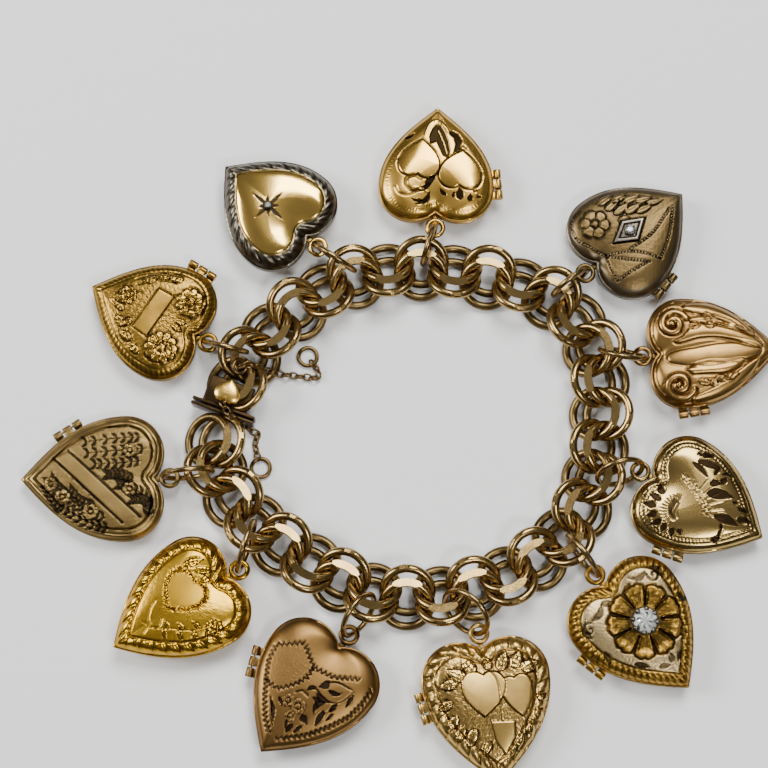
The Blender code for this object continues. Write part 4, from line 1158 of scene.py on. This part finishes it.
# place in millimetres and direction of each hinge's axis, where the solids turn
hingeAxes = {
    "a": (15.892, 42.008, 2.8, -0.073480, 0.997297),
    "c": (-32.598, 27.443, 2.7, -0.843112, 0.537739),
    "d": (-53.944, 0.941, 2.2, -0.838516, -0.544877),
    "f": (-23.573, -36.207, 2.7, -0.272124, -0.962262),
    "g": (3.030, -43.683, 2.7, 0.292226, -0.956349),
    "h": (29.613, -37.250, 2.8, 0.777814, -0.628494),
    "i": (42.099, -19.330, 2.8, 0.941985, -0.335655),
    "j": (47.122, 3.598, 2.7, 0.988958, 0.148199),
    "k": (43.097, 24.689, 2.7, 0.648052, 0.761597),
}


def hingePlace(letter):
    # Y along the hinge's axis, X into the heart, Z up, in the heart's own frame
    x, y, z, axisX, axisY = hingeAxes[letter]
    turn = Matrix.Rotation(math.atan2(axisX, -axisY), 4, "Z")
    return charmPlace(letter).inverted() @ Matrix.Translation((x * mm, y * mm, z * mm)) @ turn


def bevelled(obj, width, segments=3):
    makeActive(obj)
    mod = obj.modifiers.new("bevel", "BEVEL")
    mod.width = width
    mod.segments = segments
    mod.limit_method = "ANGLE"
    bpy.ops.object.modifier_apply(modifier=mod.name)
    return obj


def boxPiece(name, low, high, bevel=0.1 * mm, segments=3):
    deselect()
    middle = [(a + b) / 2 for a, b in zip(low, high)]
    bpy.ops.mesh.primitive_cube_add(size=1, location=middle)
    box = bpy.context.object
    box.name = name
    box.scale = [b - a for a, b in zip(low, high)]
    setDown(box)
    return bevelled(box, bevel, segments)


def rodPiece(name, radius, start, end, bevel=0.08 * mm, sides=28, topRadius=None):
    # a rod along Y
    deselect()
    bpy.ops.mesh.primitive_cone_add(vertices=sides, radius1=radius, radius2=topRadius or radius,
                                    depth=end - start, location=(0, (start + end) / 2, 0),
                                    rotation=(-math.pi / 2, 0, 0))
    rod = bpy.context.object
    rod.name = name
    setDown(rod)
    return bevelled(rod, bevel, 2) if bevel else rod


def cutPiece(base, cutter):
    makeActive(base)
    mod = base.modifiers.new("cut", "BOOLEAN")
    mod.operation = "DIFFERENCE"
    mod.solver = "EXACT"
    mod.object = cutter
    bpy.ops.object.modifier_apply(modifier=mod.name)
    dropPiece(cutter)
    return base


def hingePieces(letter, own):
    # own knuckles are the back's outer two, the other is the cover's middle one
    place = hingePlace(letter)
    each = (hinge["barrel"] - 2 * hinge["gap"]) / 3
    up = -1 if own else 1
    out = []
    for i in range(3):
        if (i % 2 == 0) != own:
            continue
        start = -hinge["barrel"] / 2 + i * (each + hinge["gap"])
        knuckle = rodPiece("knuckle", hinge["radius"], start, start + each)
        near, far = up * hinge["gap"] * 0.55, up * (hinge["gap"] / 2 + hinge["tab"])
        low = (0.3 * mm, start + 0.06 * mm, min(near, far))
        high = (hinge["radius"] + hinge["gap"] + 0.9 * mm, start + each - 0.06 * mm, max(near, far))
        out += [knuckle, boxPiece("tab", low, high, 0.06 * mm, 2)]
    if own:
        reach = hinge["barrel"] / 2 - 0.5 * mm
        out.append(rodPiece("pin", hinge["pin"], -reach, reach, 0, 12))
    else:
        bore = rodPiece("bore", hinge["bore"], -hinge["barrel"], hinge["barrel"], 0, 20)
        out[0] = cutPiece(out[0], bore)
    for part in out:
        part.data.transform(place)
        evenField(part, 0.3, 0.5)
    return out


bailShape = {
    "radius": 1.3 * mm, "wire": 0.8 * mm, "reach": 0.95 * mm, "peg": 1.0 * mm,
    "steps": 40, "wireSteps": 14, "seam": -78, "worn": 0.09 * mm,
}


def bailPieces(letter):
    spec = hearts[letter]
    middle = spec["height"] * mm / 2
    loop = heartOutline(spec["width"], spec["length"], heartShape["around"])
    cleft = loop[0][1] * mm
    top = spec["length"] * mm + bailShape["reach"]
    shape = bailShape
    ring = torusPiece("bail", shape["radius"], shape["wire"], shape["steps"], shape["wireSteps"])
    wearRing(ring, shape["steps"], math.radians(shape["seam"]), (0.5, 0.5, 1), shape["worn"])
    ring.data.transform(Matrix.Translation((0, top, middle)))
    low = (-shape["peg"] / 2, cleft - 0.9 * mm, middle - 0.95 * mm)
    high = (shape["peg"] / 2, top - shape["radius"] + 0.15 * mm, middle - 0.2 * mm)
    peg = boxPiece("peg", low, high, 0.15 * mm, 3)
    evenField(ring, 0.25, 0.7)
    evenField(peg, 0.35, 0.5)
    return [ring, peg]


heartMetals = {
    "a": goldMaterial("yellowGoldHeart", (0.69, 0.41, 0.085), (0.016, 0.010, 0.004),
                      rough=0.18, matt=0.42, grain=0.08, blotch=0.2),
    "b": goldMaterial("polishedHeart", (0.95, 0.62, 0.16), (0.03, 0.022, 0.014),
                      rough=0.13, matt=0.36, grain=0.05, blotch=0.15, second=(0.21, 0.185, 0.14)),
    "c": goldMaterial("satinRosetteHeart", (0.415, 0.241, 0.0423), (0.05, 0.028, 0.008),
                      rough=0.22, matt=0.40, grain=0.2),
    "d": goldMaterial("antiqueBandHeart", (0.323, 0.213, 0.0732), (0.022, 0.015, 0.008),
                      rough=0.32, matt=0.50, grain=0.25),
    "e": goldMaterial("brassyLeafHeart", (0.671, 0.386, 0.0331), (0.12, 0.055, 0.006),
                      rough=0.20, matt=0.38, grain=0.12, blotch=0.2),
    "f": goldMaterial("roseSatinHeart", (0.245, 0.137, 0.0424), (0.022, 0.013, 0.008),
                      rough=0.30, matt=0.46, grain=0.2, blotch=0.2),
    "g": goldMaterial("scallopHeart", (0.695, 0.448, 0.132), (0.07, 0.038, 0.012),
                      rough=0.22, matt=0.40, grain=0.2),
    "h": goldMaterial("flowerHeart", (0.437, 0.246, 0.0422), (0.022, 0.014, 0.005),
                      rough=0.28, matt=0.44, grain=0.2, second=(0.47, 0.34, 0.165)),
    "i": goldMaterial("leafCutHeart", (0.44, 0.299, 0.104), (0.022, 0.013, 0.006),
                      rough=0.17, matt=0.44, grain=0.1, blotch=0.2),
    "j": goldMaterial("roseReliefHeart", (0.368, 0.216, 0.068), (0.10, 0.048, 0.014),
                      rough=0.27, matt=0.42, grain=0.2),
    "k": goldMaterial("darkAntiqueHeart", (0.186, 0.122, 0.0467), (0.018, 0.014, 0.009),
                      rough=0.30, matt=0.44, grain=0.25, second=(0.25, 0.225, 0.18)),
}


def moved(parts, place):
    for part in parts:
        part.data.transform(place)
    return parts


def makeHearts():
    for letter, spec in hearts.items():
        place = charmPlace(letter)
        metal = heartMetals[letter]
        front = makeHeartShell("heartCover_" + letter, letter, 1, reliefs.get(letter))
        back = makeHeartShell("heartBack_" + letter, letter, -1)
        if spec["hinge"] is None:
            whole = joinPieces("puffedHeart_" + letter, moved([front, back] + bailPieces(letter), place))
            made = {whole: ("bracelet", "puffed_heart_" + letter)}
        else:
            front = joinPieces(front.name, moved([front] + hingePieces(letter, False), place))
            parts = [back] + hingePieces(letter, True) + bailPieces(letter)
            back = joinPieces(back.name, moved(parts, place))
            made = {front: ("cover_" + letter, "locket_cover_" + letter),
                    back: ("bracelet", "locket_back_" + letter)}
        for piece, (body, node) in made.items():
            useMaterial(piece, metal)
            smoothShade(piece, 42)
            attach(piece, body)
            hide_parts(node)


makeHearts()
print("hearts made")


# Cut stones in claw settings, on the covers that have them

stones = {
    "h": dict(x=1.0, y=12.3, radius=1.95, collar=2.35, claws=8, colour=(0.95, 0.97, 0.93)),
    "k": dict(x=0.5, y=11.3, radius=0.8, collar=1.0, claws=4, colour=(0.42, 0.45, 0.49)),
    "b": dict(x=0.8, y=10.4, radius=0.5, collar=0.62, claws=4, colour=(0.70, 0.74, 0.78)),
}


# the grain and strength of the clouding, the span of the ramp over the painted facet glints and how dark its
# low end is
stoneLook = {"clouds": 1500, "clouding": 0.25, "low": 0.22, "high": 0.85, "shade": (0.10, 0.11, 0.11),
             "rough": 0.06, "foil": 0.35}


def stoneMaterial(name, colour):
    # cut glass backed by foil, with slight clouding; the facets' differing brightness is painted glint and
    # painted shade
    mat = bpy.data.materials.new(name)
    mat.use_nodes = True
    link = mat.node_tree.links.new
    shader = mat.node_tree.nodes["Principled BSDF"]
    coords = addNode(mat, "TexCoord")
    cloud = addNode(mat, "TexNoise", (("Scale", stoneLook["clouds"]),))
    link(coords.outputs["Object"], cloud.inputs["Vector"])
    # painted glints: each facet's own brightness, read from the face attribute
    facetGlint = addNode(mat, "Attribute", attribute_name="facetGlint")
    mixed = addNode(mat, "Math", ((1, stoneLook["clouding"]),), operation="MULTIPLY_ADD")
    link(cloud.outputs["Fac"], mixed.inputs[0])
    link(facetGlint.outputs["Fac"], mixed.inputs[2])
    ramp = addNode(mat, "ValToRGB")
    low, high = ramp.color_ramp.elements
    low.position = stoneLook["low"]
    low.color = (*[c * s for c, s in zip(colour, stoneLook["shade"])], 1)
    high.position = stoneLook["high"]
    high.color = (*colour, 1)
    link(mixed.outputs[0], ramp.inputs["Fac"])
    link(ramp.outputs["Color"], shader.inputs["Base Color"])
    shader.inputs["Roughness"].default_value = stoneLook["rough"]
    shader.inputs["Metallic"].default_value = stoneLook["foil"]
    return mat


def makeStone(letter, spec):
    # a round brilliant: girdle, two rows of crown facets and a table
    deselect()
    bpy.ops.mesh.primitive_cylinder_add(vertices=16, radius=spec["radius"] * mm, depth=0.1 * mm,
                                        location=(0, 0, 0))
    stone = bpy.context.object
    stone.name = "stone_" + letter
    bpy.ops.object.mode_set(mode="EDIT")
    bpy.ops.mesh.select_all(action="DESELECT")
    mesh = bmesh.from_edit_mesh(stone.data)
    mesh.faces.ensure_lookup_table()
    for face in mesh.faces:
        face.select_set(face.normal.z > 0.9)
    bmesh.update_edit_mesh(stone.data)
    for inset, lift, turn in ((0.30, 0.26, 11.25), (0.20, 0.14, 11.25)):
        bpy.ops.mesh.inset(thickness=inset * spec["radius"] * mm, depth=0)
        bpy.ops.transform.translate(value=(0, 0, lift * spec["radius"] * mm))
        bpy.ops.transform.rotate(value=math.radians(turn), orient_axis="Z", center_override=(0, 0, 0))
    bpy.ops.mesh.inset(thickness=0.24 * spec["radius"] * mm, depth=0)
    bpy.ops.mesh.poke()
    bpy.ops.object.mode_set(mode="OBJECT")
    # each facet gets a random lighter or darker colour: painted glints and painted dark facets in place of
    # the light the cut glass throws back
    rng = random.Random(spec["claws"] * 7 + 3)
    glintLayer = stone.data.attributes.new("facetGlint", "FLOAT", "FACE")
    values = [(i % 2) * 0.45 + 0.55 * rng.random() for i in range(len(stone.data.polygons))]
    glintLayer.data.foreach_set("value", values)
    top = (hearts[letter]["height"] + 0.42) * mm
    place = charmPlace(letter) @ Matrix.Translation((spec["x"] * mm, spec["y"] * mm, top))
    stone.data.transform(place)
    useMaterial(stone, stoneMaterial("cutStone_" + letter, spec["colour"]))
    body = "bracelet" if hearts[letter]["hinge"] is None else "cover_" + letter
    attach(stone, body)
    collar = rodPiece("collar", spec["collar"] * mm, 0, 0.9 * mm, 0.12 * mm, 40, spec["radius"] * 1.06 * mm)
    collar.data.transform(Matrix.Translation((0, 0, -0.75 * mm)) @ Matrix.Rotation(math.pi / 2, 4, "X"))
    parts = [collar]
    clawRadius = 0.2 * spec["radius"] * mm + 0.06 * mm
    outwards = Matrix.Translation((spec["radius"] * 0.97 * mm, 0, 0.10 * mm))
    for i in range(spec["claws"]):
        deselect()
        bpy.ops.mesh.primitive_uv_sphere_add(segments=14, ring_count=8, radius=clawRadius)
        claw = bpy.context.object
        claw.data.transform(Matrix.Rotation(2 * math.pi * i / spec["claws"], 4, "Z") @ outwards)
        parts.append(claw)
    for part in parts:
        part.data.transform(place)
        evenField(part, 0.35, 0.7, 1.0)
    setting = joinPieces("setting_" + letter, parts)
    useMaterial(setting, heartMetals["k"])
    smoothShade(setting, 40)
    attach(setting, body)


for stoneLetter, stoneSpec in stones.items():
    makeStone(stoneLetter, stoneSpec)
print("stones made")


# Jump rings

jumpRings = {
    "a": dict(grip=0.8, reach=2.4, height=4.2, lean=0, radius=3.5),
    "b": dict(grip=-1.6, reach=3.2, height=5.0, lean=-10, radius=3.9),
    "c": dict(grip=0.0, reach=2.4, height=4.2, lean=-10, radius=3.5),
    "d": dict(grip=0.0, reach=2.4, height=4.6, lean=0, radius=3.9),
    "e": dict(grip=-1.6, reach=3.2, height=5.0, lean=0, radius=4.1),
    "f": dict(grip=0.0, reach=2.4, height=4.2, lean=20, radius=3.7),
    "g": dict(grip=-1.6, reach=2.4, height=4.2, lean=-30, radius=4.1),
    "h": dict(grip=0.0, reach=2.4, height=4.6, lean=0, radius=3.9),
    "i": dict(grip=-0.8, reach=3.2, height=4.2, lean=-20, radius=3.7),
    "j": dict(grip=1.6, reach=3.2, height=4.2, lean=20, radius=3.7),
    "k": dict(grip=0.8, reach=2.4, height=4.2, lean=0, radius=3.5),
}
jumpGold = goldMaterial("jumpRingGold", (0.37, 0.245, 0.095), (0.07, 0.04, 0.015),
                        rough=0.24, matt=0.4, grain=0.2, blotch=0.4)
jumpShape = {"wire": 0.9 * mm, "steps": 64, "wireSteps": 16, "seam": 128, "worn": 0.08 * mm}


def makeJumpRings():
    for letter, ring in jumpRings.items():
        spec = hearts[letter]
        radius = ring["radius"] * mm
        lean = math.radians(ring["lean"])
        start = routeFrame(pairPlace(spec["pair"]))
        bail = bailPoint(letter)
        bail.z = spec["height"] * mm / 2
        grip = start @ Vector((ring["grip"] * mm, ring["reach"] * mm, 0))
        inward = Vector((grip.x - bail.x, grip.y - bail.y, 0)).normalized()
        across = Vector((-inward.y, inward.x, 0))
        rise = Vector((0, 0, 1)) * math.cos(lean) + across * math.sin(lean)
        sine = (bail.z - ring["height"] * mm) / (radius * math.cos(lean))
        centre = bail - radius * (-math.sqrt(1 - sine * sine) * inward + sine * rise)
        place = Matrix((inward, rise, inward.cross(rise))).transposed().to_4x4()
        place.translation = centre
        shape = jumpShape
        piece = torusPiece("jumpRing_" + letter, radius, shape["wire"], shape["steps"], shape["wireSteps"])
        wearRing(piece, shape["steps"], math.radians(shape["seam"]), (-0.25, 1, 0.3), shape["worn"])
        piece.data.transform(place)
        evenField(piece, 0.15, 0.8)
        useMaterial(piece, jumpGold)
        smoothShade(piece, 60)
        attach(piece, "bracelet")
        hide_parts("jump_ring_" + letter)


makeJumpRings()
print("jump rings made")


# Clasp

clasp = {
    "plate": 10.6 * mm, "thick": 0.5 * mm, "high": 3.4 * mm, "bottom": 0.8 * mm, "face": 0.15 * mm,
    "box": 7.6 * mm, "depth": 4.9 * mm, "wall": 0.6 * mm, "tongue": 5.6 * mm, "tongueThick": 0.9 * mm,
    "tongueLength": 3.7 * mm, "stem": 0.9 * mm, "stemPlace": 3.15 * mm,
    "thumbWidth": 4.2, "thumbLength": 3.9, "thumbThick": 0.6, "gap": 0.3 * mm,
}
claspGold = goldMaterial("claspGold", (0.14, 0.088, 0.036), (0.03, 0.018, 0.008),
                         rough=0.26, matt=0.42, grain=0.3, grainScale=1400, blotch=0.45)
thumbGold = goldMaterial("thumbGold", (0.95, 0.60, 0.14), (0.20, 0.10, 0.03),
                         rough=0.27, matt=0.3, grain=0.08, blotch=0.2)


def thumbHeart(low):
    # a small domed heart with its tip at the origin, in the chain's frame
    width, length, thick = clasp["thumbWidth"], clasp["thumbLength"], clasp["thumbThick"]
    around = 96
    loop = heartOutline(width, length, around)
    base = low / mm
    rows = [(0.0, base), (0.9, base), (0.985, base + 0.02), (1.0, base + 0.12), (1.0, base + 0.3),
            (0.97, base + 0.40)]
    shares = (0.92, 0.84, 0.7, 0.55, 0.4, 0.25, 0.1, 0.0)
    rows += [(s, base + 0.40 + (thick - 0.05) * math.sqrt(1 - s ** 2.5)) for s in shares]
    levels = []
    for share, level in rows:
        x, y = loop[:, 0] * share, 0.6 * length + (loop[:, 1] - 0.6 * length) * share
        levels.append([x, y, np.full(x.shape, level)])
    shell = polarShell("thumb", levels, around)
    evenField(shell, 0.05, 1.0)
    closeSkin(shell)
    return shell


def makeClasp():
    place = routeFrame(0)
    c = clasp
    gap, wide, thick, stemHalf = c["gap"], c["tongue"] / 2, c["tongueThick"] / 2, c["stem"] / 2
    middle = c["bottom"] + c["high"] / 2
    half = (c["tongueThick"] + 2 * c["gap"] + 2 * c["wall"]) / 2
    chainTop = 2 * ringLift() - 0.05 * mm
    plate = boxPiece("plate", (c["face"], -c["plate"] / 2, c["bottom"]),
                     (c["face"] + c["thick"], c["plate"] / 2, c["bottom"] + c["high"]), 0.12 * mm)
    body = boxPiece("claspBox", (c["face"] + 0.1 * mm, -c["box"] / 2, middle - half),
                    (c["face"] + c["depth"], c["box"] / 2, middle + half), 0.35 * mm, 4)
    for part in (plate, body):
        cutPiece(part, boxPiece("pocket", (-mm, -wide - gap, middle - thick - gap),
                                (c["tongueLength"] + 2 * gap, wide + gap, middle + thick + gap),
                                0.05 * mm, 1))
    cutPiece(body, boxPiece("notch", (c["stemPlace"] - stemHalf - gap, -stemHalf - gap, middle),
                            (c["stemPlace"] + stemHalf + gap, stemHalf + gap, middle + half + 0.1 * mm),
                            0.05 * mm, 1))
    for part in (plate, body):
        evenField(part, 0.8, 0.2)
    backPlate = boxPiece("backPlate", (-c["face"] - c["thick"], -c["plate"] / 2, c["bottom"]),
                         (-c["face"], c["plate"] / 2, c["bottom"] + c["high"]), 0.12 * mm)
    blade = boxPiece("blade", (-c["face"] - c["thick"] / 2, -wide, middle - thick),
                     (c["tongueLength"], wide, middle + thick), 0.12 * mm)
    thumbLow = chainTop + 0.5 * c["gap"]
    stem = boxPiece("stem", (c["stemPlace"] - stemHalf, -stemHalf, middle),
                    (c["stemPlace"] + stemHalf, stemHalf, thumbLow + 0.3 * mm), 0.12 * mm)
    for part in (backPlate, blade, stem):
        evenField(part, 0.7, 0.3)
    thumb = thumbHeart(thumbLow)
    thumb.data.transform(Matrix.Translation((c["stemPlace"] + 0.45 * c["thumbLength"] * mm, 0, 0))
                         @ Matrix.Rotation(math.pi / 2, 4, "Z"))
    for name, parts, pair, node, slotName in (
            ("claspBox", [plate, body], 0, "clasp_box", "clasp_gold"),
            ("claspTongue", [backPlate, blade, stem, thumb], chain["pairs"] - 1,
             "clasp_tongue", "thumb_gold")):
        moved(parts, place)
        rings = endRings[pair]
        for ring in rings:
            chainField(ring, 3)
            useMaterial(ring, chainGold)
        for part in parts:
            useMaterial(part, thumbGold if part is thumb else claspGold)
        whole = joinPieces(name, parts + rings)
        smoothShade(whole, 35)
        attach(whole, "bracelet")
        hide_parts(node)


makeClasp()
print("clasp made")


# Safety chains: fine links on the routes of the two tubes

safety = {
    "upper": [(-25.2, 9.6, 4.9), (-23.6, 10.0, 4.9), (-21.9, 9.8, 3.0), (-20.3, 9.5, 1.2), (-18.6, 9.2, 0.75),
              (-17.4, 9.1, 0.75), (-15.0, 8.8, 0.75), (-12.9, 8.7, 0.75), (-12.8, 9.8, 0.75),
              (-13.6, 11.0, 0.7)],
    "lower": [(-28.0, 3.6, 4.9), (-26.6, 1.7, 4.6), (-24.6, 0.5, 2.2), (-23.2, -0.3, 0.8),
              (-22.4, -0.6, 0.75), (-22.8, -2.1, 0.75), (-22.6, -3.6, 0.75), (-22.3, -4.7, 0.7)],
    "wire": 0.4 * mm, "linkLong": 1.85 * mm, "linkWide": 1.4 * mm, "pitch": 1.12 * mm, "ring": 1.5 * mm,
    "ringWire": 0.7 * mm, "hook": 1.1 * mm, "linkSteps": 20, "linkSides": 8, "ringSteps": 44, "ringSides": 14,
    "hookSteps": 40, "hookSides": 12, "ringWorn": 0.07 * mm, "hookWorn": 0.06 * mm, "twist": 45, "sway": 12,
}
safetyGold = goldMaterial("safetyGold", (0.22, 0.14, 0.055), (0.06, 0.034, 0.013),
                          rough=0.28, matt=0.4, grain=0.2, blotch=0.4)


def makeSafetyChain(name, points, node, holderLean=None):
    places = smoothPoints([(x - settle.x / mm, y - settle.y / mm, z) for x, y, z in points], 24, False)
    places = [p * mm for p in places]
    span = [0.0]
    for a, b in zip(places[:-1], places[1:]):
        span.append(span[-1] + (b - a).length)
    link = torusPiece("link", safety["linkLong"] / 2 - safety["wire"] / 2, safety["wire"],
                      safety["linkSteps"], safety["linkSides"])
    link.data.transform(Matrix.Diagonal((1, safety["linkWide"] / safety["linkLong"], 1, 1)))
    parts = []
    count = int(span[-1] / safety["pitch"])
    rng = random.Random(7)
    for i in range(count + 1):
        at = min(i * safety["pitch"] + 0.3 * mm, span[-1] - 1e-6)
        k = max(j for j in range(len(span) - 1) if span[j] <= at)
        share = (at - span[k]) / (span[k + 1] - span[k])
        centre = places[k].lerp(places[k + 1], share)
        along = (places[k + 1] - places[k]).normalized()
        side = Vector((0, 0, 1)).cross(along).normalized()
        up = along.cross(side)
        turn = Matrix((along, side, up)).transposed().to_4x4()
        lean = safety["twist"] if i % 2 else -safety["twist"]
        twist = Matrix.Rotation(math.radians(lean + rng.uniform(-safety["sway"], safety["sway"])), 4, "X")
        parts.append(placedCopy(link, Matrix.Translation(centre) @ turn @ twist))
    dropPiece(link)
    last = Vector((points[-1][0] - settle.x / mm, points[-1][1] - settle.y / mm, 0)) * mm
    before = Vector((points[-2][0] - settle.x / mm, points[-2][1] - settle.y / mm, 0)) * mm
    centre = last + (last - before).normalized() * safety["ring"]
    end = torusPiece("endRing", safety["ring"], safety["ringWire"], safety["ringSteps"], safety["ringSides"])
    wearRing(end, safety["ringSteps"], math.radians(200), (-0.6, 0.3, 1), safety["ringWorn"])
    end.data.transform(Matrix.Translation((centre.x, centre.y, safety["ringWire"] / 2 * 1.1)))
    parts.append(end)
    if holderLean:
        wire = safety["ringWire"] * 0.9
        holder = torusPiece("holder", safety["hook"], wire, safety["hookSteps"], safety["hookSides"])
        wearRing(holder, safety["hookSteps"], 1.0, (0.5, -0.4, 1), safety["hookWorn"])
        lean = Matrix.Rotation(math.radians(holderLean), 4, "Y")
        holder.data.transform(Matrix.Translation(places[0]) @ lean)
        parts.append(holder)
    whole = joinPieces(name, parts)
    evenField(whole, 0.15, 0.7)
    useMaterial(whole, safetyGold)
    smoothShade(whole, 60)
    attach(whole, "bracelet")
    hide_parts(node)


makeSafetyChain("safetyUpper", safety["upper"], "safety_chain_upper", 28)
makeSafetyChain("safetyLower", safety["lower"], "safety_chain_lower")
print("safety chains made")
